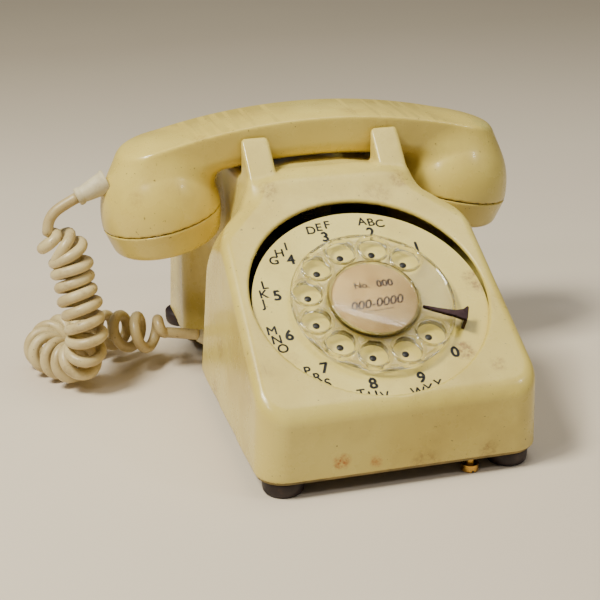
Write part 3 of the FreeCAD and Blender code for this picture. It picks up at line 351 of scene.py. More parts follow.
def aged_plastic(name, light, deep, spots=(), scratches=0.3, grime=0.35):
    """Glossy moulded plastic that has yellowed, with rubbed dirt, specks and fine scratches."""
    n = Nodes(name)
    tone = n.mix(n.band(n.noise(14, 3), 0.35, 0.68), light, deep)
    dirt = n.math("MULTIPLY", n.band(n.noise(34, 6, 0.68), 0.56, 0.80), grime * 0.7)
    tone = n.mix(dirt, tone, GRIME)
    haze = n.math("MULTIPLY", n.band(n.noise(22, 8, 0.7), 0.50, 0.74), grime * 0.75)
    tone = n.mix(haze, tone, GRIME)
    specks = n.math("MULTIPLY", n.band(n.noise(600, 2, 0.5), 0.71, 0.75), 0.65)
    tone = n.mix(specks, tone, DARK_GRIME)
    lines = n.noise(240, 2, 0.4, stretch=(1.0, 0.06, 0.35))
    scratch = n.math("MULTIPLY", n.band(lines, 0.70, 0.74), n.band(n.noise(18, 2), 0.5, 0.62))
    tone = n.mix(n.math("MULTIPLY", scratch, scratches), tone, GRIME)
    mottle = n.band(n.noise(420, 7, 0.72), 0.42, 0.62, 0.25, 2.0)
    for centre, radius, colour, strength in spots:
        share = n.math("MULTIPLY", n.near(centre, radius), n.math("MULTIPLY", mottle, strength))
        tone = n.mix(share, tone, colour)
    n.put(tone, n.shader.inputs["Base Color"])
    worn = n.band(n.noise(45, 6, 0.6), 0.3, 0.75, 0.20, 0.38)
    n.put(n.math("MAXIMUM", worn, n.math("MULTIPLY", dirt, 0.8)), n.shader.inputs["Roughness"])
    n.bump(n.noise(420, 3, 0.5), 0.05, 0.0004)
    n.set(Coat_Weight=0.10, Coat_Roughness=0.08, IOR=1.46)
    return n.material


def plain_plastic(name, colour, shade, rough=0.45, bump=0.15):
    n = Nodes(name)
    tone = n.mix(n.band(n.noise(50, 5), 0.35, 0.7), colour, shade)
    n.put(tone, n.shader.inputs["Base Color"])
    n.put(n.band(n.noise(110, 5), 0.3, 0.7, rough - 0.1, rough + 0.12), n.shader.inputs["Roughness"])
    n.bump(n.noise(800, 3), bump, 0.0002)
    return n.material


def metal(name, colour, shade, rough=0.3, stretch=(1, 1, 1)):
    n = Nodes(name)
    grain = n.noise(400, 5, 0.6, stretch=stretch)
    tone = n.mix(n.band(n.noise(70, 6, 0.6), 0.35, 0.7), colour, shade)
    n.put(tone, n.shader.inputs["Base Color"])
    n.put(n.band(grain, 0.3, 0.75, rough - 0.08, rough + 0.18), n.shader.inputs["Roughness"])
    n.bump(grain, 0.12, 0.0002)
    n.set(Metallic=1.0)
    return n.material


def rubber(name, colour, shade, dust):
    n = Nodes(name)
    tone = n.mix(n.band(n.noise(60, 5), 0.4, 0.7), colour, shade)
    tone = n.mix(n.math("MULTIPLY", n.band(n.noise(160, 8, 0.7), 0.52, 0.75), 0.4), tone, dust)
    n.put(tone, n.shader.inputs["Base Color"])
    n.put(n.band(n.noise(120, 4), 0.3, 0.7, 0.42, 0.7), n.shader.inputs["Roughness"])
    n.bump(n.noise(900, 4), 0.2, 0.0003)
    return n.material


def cord_material():
    """Grey-cream flexible jacket with handling dirt and dark specks."""
    n = Nodes("cord_jacket")
    tone = n.mix(n.band(n.noise(40, 4), 0.38, 0.66), rgb(208, 190, 142), rgb(178, 156, 108))
    tone = n.mix(n.math("MULTIPLY", n.band(n.noise(130, 7, 0.7), 0.52, 0.74), 0.55), tone, rgb(118, 90, 54))
    tone = n.mix(n.math("MULTIPLY", n.band(n.noise(700, 3), 0.66, 0.74), 0.7), tone, rgb(56, 40, 28))
    n.put(tone, n.shader.inputs["Base Color"])
    n.put(n.band(n.noise(90, 5), 0.3, 0.7, 0.28, 0.5), n.shader.inputs["Roughness"])
    n.bump(n.noise(500, 4), 0.12, 0.0003)
    return n.material


def clear_plastic(name, rough, haze_rough, clean, dirty, bump, alpha):
    """Clear moulded plastic with faint hazing and scratches."""
    n = Nodes(name)
    haze = n.band(n.noise(70, 7, 0.65), 0.45, 0.75)
    n.put(n.mix(haze, clean, dirty), n.shader.inputs["Base Color"])
    n.put(n.band(haze, 0, 1, rough, haze_rough), n.shader.inputs["Roughness"])
    n.bump(n.noise(260, 4), bump, 0.0003)
    n.set(Transmission_Weight=1.0, IOR=1.45, Alpha=alpha)
    return n.material


def card_material():
    """Tan card, darker in blotches, with fibres."""
    n = Nodes("card_paper")
    tone = n.mix(n.band(n.noise(70, 5), 0.38, 0.66), rgb(206, 172, 108), rgb(176, 140, 80))
    tone = n.mix(n.math("MULTIPLY", n.band(n.noise(900, 6, 0.8), 0.5, 0.7), 0.25), tone, rgb(120, 96, 70))
    n.put(tone, n.shader.inputs["Base Color"])
    n.put(n.band(n.noise(300, 3), 0.3, 0.7, 0.7, 0.9), n.shader.inputs["Roughness"])
    n.bump(n.noise(1200, 4), 0.15, 0.0001)
    return n.material


def ink_material(name, colour):
    n = Nodes(name)
    tone = n.mix(n.band(n.noise(900, 3), 0.45, 0.75), rgb(*colour), rgb(*[c + 30 for c in colour]))
    n.put(tone, n.shader.inputs["Base Color"])
    n.put(n.band(n.noise(300, 3), 0.3, 0.7, 0.4, 0.6), n.shader.inputs["Roughness"])
    return n.material


# Each stain: its place in millimetres, its radius, its colour and its strength.
SHELL_STAINS = (
    ((45, 2, 111), 5.0, GRIME, 0.35), ((60, -70, 62), 7.0, GRIME, 0.3),
    ((38, 24, 118), 4.0, GRIME, 0.4), ((-33, 14, 116), 2.2, DARK_GRIME, 0.35),
    ((66, -40, 24), 6.0, GRIME, 0.35), ((66, -52, 38), 5.0, GRIME, 0.3),
    ((-30, -114, 16), 5.0, ORANGE_STAIN, 0.55), ((-14, -115, 14), 3.5, ORANGE_STAIN, 0.4),
    ((-52, 36, 22), 8.0, GRIME, 0.35), ((-60, -20, 14), 9.0, GRIME, 0.3),
    ((20, -12, 104), 9.0, GRIME, 0.2), ((62, -100, 20), 8.0, GRIME, 0.3),
    ((-33, -6, 108), 6.0, GRIME, 0.3), ((33, -6, 108), 6.0, GRIME, 0.3), ((-58, -90, 50), 8.0, GRIME, 0.22),
    ((48, -104, 50), 5.0, GRIME, 0.3), ((10, -114, 10), 8.0, GRIME, 0.3), ((40, -114, 12), 6.0, GRIME, 0.3),
    ((-66, -30, 40), 9.0, GRIME, 0.2), ((-63, 30, 60), 8.0, GRIME, 0.2), ((-62, 92, 24), 9.0, GRIME, 0.25),
)
HANDSET_STAINS = (
    ((92, 26, 126), 9.0, GREEN_STAIN, 0.35), ((20, 30, 132), 7.0, GRIME, 0.18),
    ((-60, 22, 130), 5.0, GRIME, 0.2), ((-96, 12, 104), 7.0, GRIME, 0.22),
)
PLATE_STAINS = (
    ((54, -58, 70), 8.0, GRIME, 0.45), ((36, -92, 52), 6.0, GRIME, 0.5), ((-44, -84, 52), 6.0, GRIME, 0.3),
)

shell_ivory = aged_plastic("shell_ivory", IVORY, IVORY_DEEP, SHELL_STAINS)
handset_ivory = aged_plastic("handset_ivory", rgb(216, 195, 104), rgb(198, 172, 82), HANDSET_STAINS,
                             0.2, 0.3)
plate_ivory = aged_plastic("plate_ivory", rgb(226, 207, 114), rgb(210, 188, 94), PLATE_STAINS, 0.15, 0.3)
steel = metal("plated_steel", rgb(176, 174, 168), rgb(128, 124, 116), 0.3)
dull_steel = metal("passivated_steel", rgb(140, 124, 84), rgb(96, 88, 66), 0.42)
dark_metal = metal("dark_nickel", rgb(58, 44, 46), rgb(30, 22, 24), 0.2)
aluminium = metal("satin_aluminium", rgb(196, 196, 194), rgb(160, 160, 158), 0.34)
brass = metal("dull_brass", rgb(206, 164, 84), rgb(150, 112, 52), 0.28)
copper = plain_plastic("copper_winding", rgb(126, 60, 30), rgb(90, 42, 22), 0.35)
phenolic = plain_plastic("phenolic", rgb(96, 60, 36), rgb(66, 40, 24))
grey_case = plain_plastic("grey_case", rgb(126, 128, 126), rgb(98, 100, 98))
pale_plastic = plain_plastic("pale_plastic", rgb(214, 210, 194), rgb(190, 184, 162), 0.4)
foot_rubber = rubber("foot_rubber", rgb(34, 15, 17), rgb(20, 10, 12), rgb(84, 62, 52))
boot_rubber = rubber("boot_rubber", rgb(206, 194, 160), rgb(178, 164, 126), rgb(120, 100, 72))
cord_jacket = cord_material()
clear = clear_plastic("clear_wheel", 0.04, 0.13, [0.98, 0.96, 0.89, 1], [0.84, 0.79, 0.66, 1], 0.06, 0.85)
clear_cover = clear_plastic("clear_cover", 0.01, 0.03, [0.99, 0.98, 0.94, 1], [0.97, 0.95, 0.89, 1],
                            0.01, 0.16)
card_paper = card_material()
ink = ink_material("dial_ink", (22, 22, 24))
card_ink = ink_material("card_ink", (58, 34, 24))

SLOT_MATERIALS = {
    "ivory_shell": shell_ivory, "ivory_handset": handset_ivory, "ivory_plate": plate_ivory,
    "clear_plastic": clear, "card": card_paper, "dark_metal": dark_metal, "rubber_black": foot_rubber,
    "base_steel": dull_steel, "brass": brass, "cord_rubber": cord_jacket, "boot_rubber": boot_rubber,
    "steel": steel, "aluminium": aluminium, "phenolic": phenolic, "copper_winding": copper,
    "network_grey": grey_case, "clear_switch": pale_plastic,
}
for entry in frame["record"]["subparts"]:
    cad_node = nodes[entry["node"]]
    cad_node.data.materials.clear()
    cad_node.data.materials.append(SLOT_MATERIALS[entry["material_slot"]])


# ---------------------------------------------------------------- camera and cord

CAMERA_PLACE = Vector((-0.2341, -0.7412, 0.3616))
CAMERA_AZIMUTH = math.radians(-16.44)
CAMERA_ELEVATION = math.radians(22.16)
CAMERA_LENS = 100.2


def add_camera():
    data = bpy.data.cameras.new("view")
    data.lens = CAMERA_LENS
    data.sensor_width = 36
    camera = bpy.data.objects.new("view", data)
    level = math.cos(CAMERA_ELEVATION)
    back = Vector((math.sin(CAMERA_AZIMUTH) * level, -math.cos(CAMERA_AZIMUTH) * level,
                   math.sin(CAMERA_ELEVATION)))
    camera.location = CAMERA_PLACE
    camera.rotation_euler = back.to_track_quat("Z", "Y").to_euler()
    bpy.context.scene.collection.objects.link(camera)
    bpy.context.scene.camera = camera


# The cord's sizes and ends, in metres; COIL_RADIUS is to the middle of the cord.
CORD_RADIUS = 0.0028
COIL_RADIUS = 0.0082
BOOT_START = Vector((-0.1034, 0.03725, 0.1057))
BOOT_DIRECTION = Vector((-0.9, 0, -0.42)).normalized()
BOOT_LENGTH = 0.017
ENTRY = Vector((-0.050, 0.036, 0.0132))
ENTRY_DIRECTION = Vector((-0.88, 0.03, 0.47))
ENTRY_LENGTH = 0.011
# The cord's middle line in millimetres, the same points as in the part's source.
LEAD_ROUTE = (
    (-131.8, 37.2, 91.0), (-134.4, 37.0, 84.4), (-132.6, 36.6, 77.8), (-128.0, 36.0, 72.2),
)
COIL_ROUTE = (
    (-124.0, 35.0, 72.0), (-122.6, 30.5, 56.0), (-120.2, 24.5, 40.0), (-119.2, 21.8, 28.0),
    (-121.4, 24.6, 18.0), (-126.4, 31.6, 12.0), (-132.4, 41.0, 11.4), (-136.6, 52.0, 11.5),
    (-135.8, 63.4, 11.6), (-128.2, 72.0, 11.6), (-117.0, 73.0, 12.2), (-108.0, 66.0, 14.2),
    (-101.0, 56.6, 16.8), (-93.0, 47.6, 19.4), (-83.0, 41.2, 20.8), (-72.0, 37.4, 20.6),
)


def route_points():
    """Points read from the route's smooth line, close together."""
    tip = BOOT_START + BOOT_DIRECTION * BOOT_LENGTH
    spots = [tip, tip + BOOT_DIRECTION * 0.0075]
    spots += [Vector(point) * MM for point in LEAD_ROUTE + COIL_ROUTE]
    spots.append(ENTRY + ENTRY_DIRECTION * ENTRY_LENGTH)
    data = bpy.data.curves.new("route", "CURVE")
    data.dimensions = "3D"
    data.resolution_u = 24
    spline = data.splines.new("NURBS")
    spline.points.add(len(spots) - 1)
    for point, spot in zip(spline.points, spots):
        point.co = (*spot, 1)
    spline.order_u = 3
    spline.use_endpoint_u = True
    holder = bpy.data.objects.new("route", data)
    bpy.context.scene.collection.objects.link(holder)
    bpy.context.view_layer.update()
    mesh = bpy.data.meshes.new_from_object(holder.evaluated_get(bpy.context.evaluated_depsgraph_get()))
    points = np.array([vertex.co for vertex in mesh.vertices])
    bpy.data.objects.remove(holder)
    return points


def even_points(points, count):
    """The same line with evenly spaced points, and the distance along it."""
    run = np.concatenate([[0], np.cumsum(np.linalg.norm(np.diff(points, axis=0), axis=1))])
    spots = np.linspace(0, run[-1], count)
    return np.stack([np.interp(spots, run, points[:, k]) for k in range(3)], 1), spots


def carried_frames(points):
    """Two directions across the line at each point, carried along it without twist."""
    along = np.gradient(points, axis=0)
    along /= np.linalg.norm(along, axis=1)[:, None]
    across = np.zeros_like(points)
    side = np.cross(along[0], [0.0, 1.0, 0.0])
    for k, direction in enumerate(along):
        side = side - direction * side.dot(direction)
        side /= np.linalg.norm(side)
        across[k] = side
    return along, across, np.cross(along, across)


def tube_piece(name, points, radius, sides=12):
    """Closed tube that follows points."""
    _, across, over = carried_frames(points)
    spots = []
    faces = []
    for k in range(len(points)):
        for j in range(sides):
            angle = 2 * math.pi * j / sides
            spots.append(points[k] + radius * (across[k] * math.cos(angle) + over[k] * math.sin(angle)))
    for k in range(len(points) - 1):
        for j in range(sides):
            following = (j + 1) % sides
            low, high = k * sides, (k + 1) * sides
            faces.append((low + j, low + following, high + following, high + j))
    faces.append(list(range(sides))[::-1])
    faces.append([(len(points) - 1) * sides + j for j in range(sides)])
    return new_object(name, spots, faces)


def curly_line():
    """The cord's own line: straight lead, helix with uneven turns, straight tail."""
    line, run = even_points(route_points(), 1400)
    _, across, over = carried_frames(line)
    lead = 0.026
    tail = run[-1] - 0.016
    # distance from one turn to the next: close in the hanging column, open near the housing
    pitch = np.interp(run, [0.0, 0.05, 0.085, 0.11, 0.17, 0.185, 0.22],
                      [0.0066, 0.0066, 0.0078, 0.0085, 0.0085, 0.0108, 0.0115])
    turns = np.cumsum(np.gradient(run) / pitch)
    turns -= np.interp(lead, run, turns)
    rise = np.clip((run - lead + 0.004) / 0.010, 0, 1)
    fall = np.clip((tail - run) / 0.008, 0, 1)
    share = np.minimum(rise, fall)
    share = share * share * (3 - 2 * share)
    knots = np.arange(0, turns[-1] + 2, 0.7)
    swell = np.interp(turns, knots, [random.uniform(-0.0005, 0.0003) for _ in knots])
    shift_a = np.interp(turns, knots, [random.uniform(-0.0008, 0.0008) for _ in knots])
    shift_b = np.interp(turns, knots, [random.uniform(-0.0008, 0.0008) for _ in knots])
    angle = 2 * math.pi * turns
    size = (COIL_RADIUS + swell) * share
    offset_a = size * np.cos(angle) + shift_a * share
    offset_b = size * np.sin(angle) + shift_b * share
    points = line + across * offset_a[:, None] + over * offset_b[:, None]
    points[:, 2] = np.maximum(points[:, 2], CORD_RADIUS + 0.0001)
    return points


def make_cord():
    points = curly_line()
    points, _ = even_points(points, 900)
    piece = tube_piece("handset_cord", points, CORD_RADIUS)
    finish_piece(piece, None, "cord_rubber", cord_jacket,
                 "handset_cord_lead", "handset_cord_coil", "handset_cord_tail")
    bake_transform(piece)
    make_handset_boot()
    make_body_boot()


def axis_place(start, direction):
    return Matrix.Translation(start) @ Vector(direction).to_track_quat("Z", "Y").to_matrix().to_4x4()


def make_handset_boot():
    """Tapered sleeve with an end ring, where the cord leaves the handset."""
    profile = [(0, 0), (6.2, 0), (6.4, 1.2), (5.8, 2.0), (5.5, 4.5), (4.9, 8.5), (4.3, 12.6), (4.0, 13.8),
               (4.5, 14.3), (4.6, 16.0), (4.1, 16.9), (2.9, 17.0), (0, 16.4)]
    piece = lathe("handset_boot", profile, axis_place(BOOT_START, BOOT_DIRECTION), 40)
    return finish_piece(piece, "handset", "boot_rubber", boot_rubber, "handset_cord_boot")


def make_body_boot():
    profile = [(0, -1.5), (4.4, -1.5), (4.5, 0.5), (4.2, 4.0), (3.7, 8.0), (3.4, 10.2), (2.9, 10.9),
               (0, 10.6)]
    piece = lathe("body_boot", profile, axis_place(ENTRY, ENTRY_DIRECTION), 32)
    return finish_piece(piece, "base", "boot_rubber", boot_rubber, "body_cord_boot")


add_camera()
make_cord()


# ---------------------------------------------------------------- housing

def saddle_and_slopes(y, z):
    """The body's outline from the side: dial face, saddle under the handle, and back slope."""
    face = (z - DIAL_Z) * math.cos(TILT) - (y - DIAL_Y) * math.sin(TILT)
    crest_y = HANDSET_Y - SADDLE_HALF
    crest_z = DIAL_Z + (crest_y - DIAL_Y) * math.tan(TILT)
    sag = crest_z - CRADLE_TOP
    radius = (SADDLE_HALF ** 2 + sag ** 2) / (2 * sag)
    saddle = radius - np.hypot(y - HANDSET_Y, z - CRADLE_TOP - radius)
    rear_y = HANDSET_Y + SADDLE_HALF
    fall = Vector((BODY_END - rear_y, REAR_WALL - crest_z)).normalized()
    back = (y - rear_y) * -fall.y + (z - crest_z) * fall.x
    return round_and(round_and(face, saddle, 4), back, 6)


def ear_field(ax, ay, z):
    """One ear; ax and ay are distances from the middle of the cradle."""
    slope = (ay - 41.0) * 0.777 + (z - CRADLE_TOP + 2.0) * 0.63
    top = (ay - 29.0) * 0.59 + (z - CRADLE_TOP - 12.8) * 0.807
    outline = round_and(round_and(slope, top, 6), 18.6 - ay, 1.6)
    ear = round_and(np.abs(ax - EAR_X) - EAR_HALF, outline, 1.8)
    return np.maximum(ear, CRADLE_TOP - 14 - z)


def body_field(x, y, z):
    """The body without its ears."""
    ax = np.abs(x)
    ay = np.abs(y - HANDSET_Y)
    taper = (HALF_FRONT - HALF_REAR) * (y + BODY_END) / (2 * BODY_END)
    half = HALF_FRONT - taper - SIDE_DRAFT * (z - BASE_EDGE)
    plan = round_and(round_and(ax - half, -y - BODY_END, FRONT_CORNER), y - BODY_END, REAR_CORNER)
    top = saddle_and_slopes(y, z)
    body = round_and(plan, top, 5.0)
    shoulder = (ax - 61.0) * 0.684 + (HANDSET_Y - ay + 23.75) * 0.408 + (z - 96.43) * 0.604
    body = round_and(body, shoulder, 7)
    scoop = 24.0 + 12.5 * np.clip(z / (SEAM_Z - 2), 0, 1) - np.hypot(ax - CAP_X - 0.9, y - HANDSET_Y)
    body = round_and(body, scoop, 4)
    flare = 4.0 * (CRADLE_TOP + 12 - z) / (CRADLE_TOP + 32 - SEAM_Z)
    neck = round_and(ax - NECK_HALF - flare, ay - SADDLE_HALF - 6 - flare, 6)
    neck = np.maximum(round_and(neck, top, 4), SEAM_Z - 20 - z)
    body = round_or(body, neck, 8)
    grip = np.hypot(y - HANDSET_Y - SADDLE_HALF - 14, z - CRADLE_TOP + 20) - GRIP_RADIUS
    grip = round_and(grip, ax - 38, 3)
    return round_and(body, -grip, 2.5)


def housing_field(x, y, z):
    """The body as a shell, open below, with its openings."""
    body = body_field(x, y, z)
    eared = round_or(body, ear_field(np.abs(x), np.abs(y - HANDSET_Y), z), 2.5)
    shell = np.maximum(eared, -(body + WALL))
    shell = round_and(shell, BASE_EDGE - z, 0.5)
    up = (y - DIAL_Y) * math.cos(TILT) + (z - DIAL_Z) * math.sin(TILT)
    out = (z - DIAL_Z) * math.cos(TILT) - (y - DIAL_Y) * math.sin(TILT)
    opening = np.minimum(OPENING_RADIUS - np.hypot(x, up), out + 12)
    shell = round_and(shell, opening, 1.0)
    plunger = np.minimum(4.3 - np.hypot(np.abs(x) - EAR_X, y - HANDSET_Y), z - 95)
    shell = round_and(shell, plunger, 0.6)
    notch = np.minimum(np.minimum(8 - np.abs(x + 52), 6.5 - np.abs(y - 36)), 18.8 - z)
    line_notch = np.minimum(np.minimum(4.5 - np.abs(x + 35.5), y - BODY_END + 8), 12.8 - z)
    return round_and(round_and(shell, notch, 0.6), line_notch, 0.6)


def make_housing():
    piece = field_piece("housing_shell", housing_field, (-69.3, -117.1, 7.1), (69.3, 117.1, 129.0), 1.1)
    thin_out(piece, 0.55)
    return finish_piece(piece, "base", "ivory_shell", shell_ivory, "housing")


# ---------------------------------------------------------------- handset

def seam_frame(x, z):
    """Distances from a cap's seam: across it, and up into the handle."""
    dx = np.abs(x) - CAP_X
    dz = z - SEAM_Z
    across = dx * math.cos(CAP_TILT) - dz * math.sin(CAP_TILT)
    up = dx * math.sin(CAP_TILT) + dz * math.cos(CAP_TILT)
    return across, up


def handle_field(x, y, z):
    u = y - HANDSET_Y
    depth = np.hypot(x, z - HANDLE_TOP + HANDLE_BOW) - HANDLE_BOW
    side = np.abs(u) - 18.0 - 0.0476 * depth
    belly = np.hypot(u, depth - 4.85) - 27.65
    section = round_and(round_and(depth, side, 1.5), belly, 3)
    end_radius = 17.5
    end_x = np.abs(x) - HANDLE_END + end_radius
    end_u = np.abs(u) - 0.5
    plan = np.hypot(np.maximum(end_x, 0), np.maximum(end_u, 0)) - end_radius
    plan = plan + np.minimum(np.maximum(end_x, end_u), 0)
    bar = round_and(section, plan, 1.5)
    across, up = seam_frame(x, z)
    flat = across ** 2 + u ** 2
    size = np.sqrt(flat / CAP_RADIUS ** 2 + up ** 2 / BULB_HEIGHT ** 2)
    slope = np.sqrt(flat / CAP_RADIUS ** 4 + up ** 2 / BULB_HEIGHT ** 4)
    bulb = size * (size - 1) / np.maximum(slope, 1e-6)
    bulb = np.maximum(bulb, -up)
    return round_and(round_or(bar, bulb, 8), -up, 0.5)


def cap_field(x, y, z):
    """A screwed cap with a ring of small holes in its face."""
    across, up = seam_frame(x, z)
    u = y - HANDSET_Y
    radius = np.hypot(across, u)
    side = (radius - CAP_RADIUS) * 0.973 - (up + 0.4) * 0.232
    shell = round_and(side, -up - CAP_DEPTH, 4.0)
    shell = np.maximum(shell, -(shell + CAP_WALL))
    shell = round_and(shell, up + 0.35, 0.5)
    for ring, count in ((0, 1), (4.5, 6), (9, 12)):
        for k in range(count):
            angle = 2 * math.pi * k / count
            hole = 1.05 - np.hypot(across - ring * math.cos(angle), u - ring * math.sin(angle))
            shell = np.maximum(shell, np.minimum(hole, -up - 10))
    return shell


def make_handset():
    low = (-110, HANDSET_Y - 33, SEAM_Z - 10)
    high = (110, HANDSET_Y + 33, CRADLE_TOP + 28)
    piece = field_piece("handset_shell", handle_field, low, high, 1.0)
    thin_out(piece, 0.6)
    finish_piece(piece, "handset", "ivory_handset", handset_ivory, "handset_handle")
    for side, name in ((-1, "transmitter"), (1, "receiver")):
        low_x, high_x = sorted((side * 42, side * 110))
        cap = field_piece(name + "_bowl", cap_field, (low_x, HANDSET_Y - 32, SEAM_Z - 26),
                          (high_x, HANDSET_Y + 32, SEAM_Z + 9), 0.62)
        thin_out(cap, 0.5)
        finish_piece(cap, "handset", "ivory_handset", handset_ivory, name + "_cap")


# ---------------------------------------------------------------- dial

dial_place = Matrix.Translation(Vector((0, FRAME_Y, FRAME_Z)) * MM) @ Matrix.Rotation(TILT, 4, "X")


def digit_angle(index):
    """Angle of a hole, clockwise from the top of the slope."""
    return math.radians(45 - 30 * index)


def wheel_field(x, y, z):
    """Clear disc with a raised edge, ten rimmed finger holes and a raised boss with a well for the card."""
    radius = np.hypot(x, y)
    middle = (WHEEL_LOW + WHEEL_HIGH) / 2
    disc = round_and(radius - WHEEL_RADIUS, np.abs(z - middle) - (WHEEL_HIGH - WHEEL_LOW) / 2, 0.9)
    disc = round_or(disc, np.hypot(radius - WHEEL_RADIUS + 0.8, z - WHEEL_HIGH + 0.1) - 0.8, 0.6)
    holes = np.full_like(radius, 1e3)
    for index in range(10):
        angle = digit_angle(index)
        holes = np.minimum(holes, np.hypot(x - (HOLE_CIRCLE + 0.7) * math.sin(angle),
                                           y - (HOLE_CIRCLE + 0.7) * math.cos(angle)))
    rim = np.hypot(holes - 7.1, z - WHEEL_HIGH) - 0.85
    disc = round_or(disc, rim, 0.5)
    disc = round_and(disc, 6.5 - holes, 0.6)
    boss = round_and(np.maximum(radius - BOSS_RADIUS, WHEEL_LOW - z), z - BOSS_HIGH, 0.8)
    disc = round_or(disc, boss, 0.8)
    disc = round_and(disc, np.minimum(20.6 - radius, z - CARD_LEVEL + 0.02), 0.3)
    return np.maximum(disc, 2.5 - radius)


def make_wheel():
    edge = WHEEL_RADIUS + 1.2
    piece = field_piece("clear_wheel", wheel_field, (-edge, -edge, WHEEL_LOW - 0.9),
                        (edge, edge, BOSS_HIGH + 0.9), 0.52)
    thin_out(piece, 0.7)
    piece.data.transform(dial_place)
    finish_piece(piece, "dial", "clear_plastic", clear, "finger_wheel")
    card = [(0, 0), (20.0, 0), (20.1, 0.15), (20.0, 0.33), (0, 0.33)]
    card = lathe("tan_card", [(radius, CARD_LEVEL + rise) for radius, rise in card], dial_place, 96)
    finish_piece(card, "dial", "card", card_paper, "number_card")
    cover = [(0, 0.6), (19.6, 0.6), (20.2, 0.8), (20.35, 1.5), (19.9, 2.0), (18.6, 2.15), (14, 2.3),
             (7, 2.4), (0, 2.42)]
    dome = lathe("card_cover", [(radius, CARD_LEVEL + rise) for radius, rise in cover], dial_place, 96)
    finish_piece(dome, "dial", "clear_plastic", clear_cover, "card_retainer")


def text_piece(name, text, size, x, y, height, slant=0.0, turn=0.0):
    """Flat lettering on the dial."""
    data = bpy.data.curves.new(name, "FONT")
    data.body = text
    data.size = size * MM
    data.shear = slant
    data.align_x = "CENTER"
    data.align_y = "CENTER"
    data.extrude = 0.00002
    holder = bpy.data.objects.new(name, data)
    bpy.context.scene.collection.objects.link(holder)
    bpy.context.view_layer.update()
    mesh = bpy.data.meshes.new_from_object(holder.evaluated_get(bpy.context.evaluated_depsgraph_get()))
    bpy.data.objects.remove(holder)
    spot = dial_place @ Matrix.Translation(Vector((x, y, height)) * MM)
    mesh.transform(spot @ Matrix.Rotation(turn, 4, "Z"))
    piece = bpy.data.objects.new(name, mesh)
    bpy.context.scene.collection.objects.link(piece)
    return piece


LETTERS = ("", "ABC", "DEF", "GHI", "JKL", "MNO", "PRS", "TUV", "WXY", "")


def bold_text(text, size, x, y, height, weight, slant=0.0, turn=0.0):
    """Lettering struck three times, weight apart, which thickens its lines."""
    strikes = ((-weight, -weight / 2), (weight, -weight / 2), (0, weight))
    return [text_piece("letter", text, size, x + dx, y + dy, height, slant, turn) for dx, dy in strikes]


def make_legend():
    pieces = []
    for index in range(10):
        angle = digit_angle(index)
        x, y = math.sin(angle), math.cos(angle)
        pieces += bold_text(str((index + 1) % 10), 8.0, DIGIT_CIRCLE * x, DIGIT_CIRCLE * y, 0.05, 0.32)
        letters = LETTERS[index] if math.cos(angle) > 0 else LETTERS[index][::-1]
        spacing = 5.0 if index < 3 else 6.1
        for k, letter in enumerate(letters):
            turned = angle + math.radians(spacing * (k - 1))
            spot = (LETTER_CIRCLE * math.sin(turned), LETTER_CIRCLE * math.cos(turned))
            pieces += bold_text(letter, 6.6, *spot, 0.05, 0.16)
        spot = dial_place @ Matrix.Translation(Vector((HOLE_CIRCLE * x, HOLE_CIRCLE * y, 0)) * MM)
        pieces.append(lathe("dot", [(0, 0.01), (1.7, 0.01), (1.7, 0.08), (0, 0.1)], spot, 24))
    finish_piece(join("dial_legend", pieces), "base", "ivory_plate", ink)
    level = CARD_LEVEL + 0.36
    slope = math.radians(4)
    words = bold_text("No.", 4.8, -4, 7.8, level, 0.14) + bold_text("000", 5.4, 7.2, 7.8, level, 0.24)
    words += bold_text("000-0000", 6.8, 0, -3.0, level, 0.16, 0.35, slope)
    words += bold_text("_____", 6.0, 0, -4.6, level, 0.05, 0, slope)
    finish_piece(join("card_writing", words), "dial", "card", card_ink)


def make_stop():
    """Dark hook over the wheel's edge, bevelled."""
    outline = [(22.6, -0.5), (27, -1.3), (33, -1.8), (38, -2.2), (41.4, -2.9), (43.2, -3.0), (43.9, -2.2),
               (43.9, 4.6), (43.1, 5.2), (41.4, 3.0), (38, 1.5), (31, 0.8), (25, 0.6), (22.6, 0.5)]
    low, high = 5.9, 7.5
    place = dial_place @ Matrix.Rotation(math.radians(90 - STOP_ANGLE), 4, "Z")
    count = len(outline)
    points = [place @ (Vector((x, y, level)) * MM) for level in (low, high) for x, y in outline]
    faces = [list(range(count))[::-1], list(range(count, 2 * count))]
    faces += [(k, (k + 1) % count, count + (k + 1) % count, count + k) for k in range(count)]
    claw = new_object("claw", points, faces, False)
    leg_outline = [(42.2, -3.2), (43.8, -3.2), (43.8, 3.4), (42.2, 3.4)]
    points = [place @ (Vector((x, y, level)) * MM) for level in (0.05, high - 0.4) for x, y in leg_outline]
    faces = [[3, 2, 1, 0], [4, 5, 6, 7]] + [(k, (k + 1) % 4, 4 + (k + 1) % 4, 4 + k) for k in range(4)]
    leg = new_object("leg", points, faces, False)
    piece = join("stop_hook", [claw, leg])
    bevel = piece.modifiers.new("bevel", "BEVEL")
    bevel.width = 0.00035
    bevel.segments = 3
    apply_modifiers(piece)
    finish_piece(piece, "base", "dark_metal", dark_metal, "finger_stop")


def make_feet():
    low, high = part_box("rubber_feet")
    radius = 9.7 * MM
    profile = [(0, 0), (7.6, 0), (8.7, 0.35), (9.3, 1.2), (9.6, 3.0), (9.7, 6.4), (9.4, 7.1), (0, 7.1)]
    feet = []
    for x in (low.x + radius, high.x - radius):
        for y in (low.y + radius, high.y - radius):
            feet.append(lathe("foot", profile, Matrix.Translation((x, y, 0)), 48))
    finish_piece(join("four_feet", feet), "base", "rubber_black", foot_rubber, "rubber_feet")


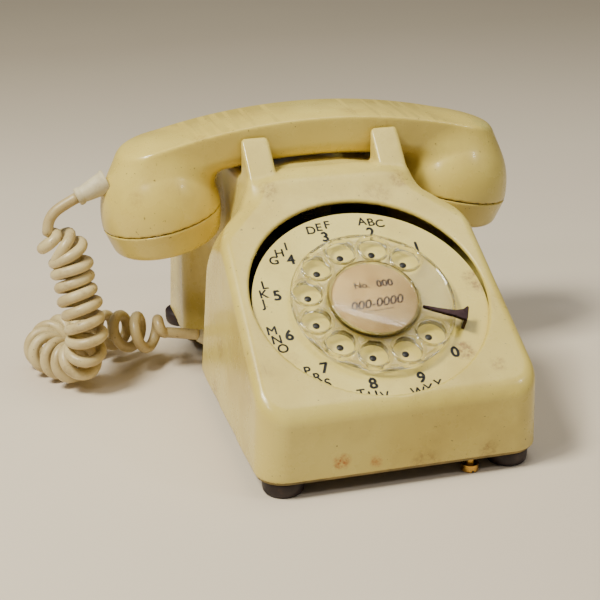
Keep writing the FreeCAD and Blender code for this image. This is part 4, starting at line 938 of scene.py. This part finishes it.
make_housing()
make_handset()
make_wheel()
make_legend()
make_stop()
make_feet()


# ---------------------------------------------------------------- light and floor

def area_light(name, place, aim, size, power, colour):
    data = bpy.data.lights.new(name, "AREA")
    data.shape = "RECTANGLE"
    data.size, data.size_y = size
    data.energy = power
    data.color = colour
    light = bpy.data.objects.new(name, data)
    light.location = place
    light.rotation_euler = (Vector(place) - Vector(aim)).to_track_quat("Z", "Y").to_euler()
    bpy.context.scene.collection.objects.link(light)


def floor_material():
    """Matt backdrop paper, which darkens behind the telephone."""
    n = Nodes("backdrop_paper")
    near_tone = n.mix(n.band(n.noise(1.5, 4), 0.3, 0.7), rgb(222, 209, 192), rgb(212, 198, 180))
    depth = n.add("ShaderNodeSeparateXYZ", {"Vector": n.place}).outputs["Y"]
    n.put(n.mix(n.band(depth, 0.35, 0.75), near_tone, rgb(192, 178, 158)), n.shader.inputs["Base Color"])
    n.put(n.band(n.noise(6, 3), 0.3, 0.7, 0.6, 0.75), n.shader.inputs["Roughness"])
    return n.material


def make_stage():
    points = [(-6, -6, 0), (6, -6, 0), (6, 6, 0), (-6, 6, 0)]
    floor = new_object("backdrop", points, [(0, 1, 2, 3)], False)
    floor.data.materials.append(floor_material())


def make_world():
    world = bpy.data.worlds.new("studio")
    world.use_nodes = True
    background = world.node_tree.nodes["Background"]
    background.inputs["Color"].default_value = (0.90, 0.94, 0.92, 1)
    background.inputs["Strength"].default_value = 0.13
    bpy.context.scene.world = world


TARGET = (0, 0, 0.05)
make_stage()
area_light("key", (-0.62, -0.18, 1.05), TARGET, (0.30, 0.30), 20, (1, 0.97, 0.82))
area_light("overhead", (0.25, -0.1, 1.3), TARGET, (0.9, 0.7), 6, (1, 0.97, 0.86))
area_light("glint_left", (-0.7, -0.55, 0.85), (0, 0, 0.06), (0.07, 0.07), 1.5, (1, 0.98, 0.94))
area_light("glint_right", (0.7, -0.6, 0.85), (0, 0, 0.06), (0.08, 0.07), 1.5, (1, 0.98, 0.94))
make_world()
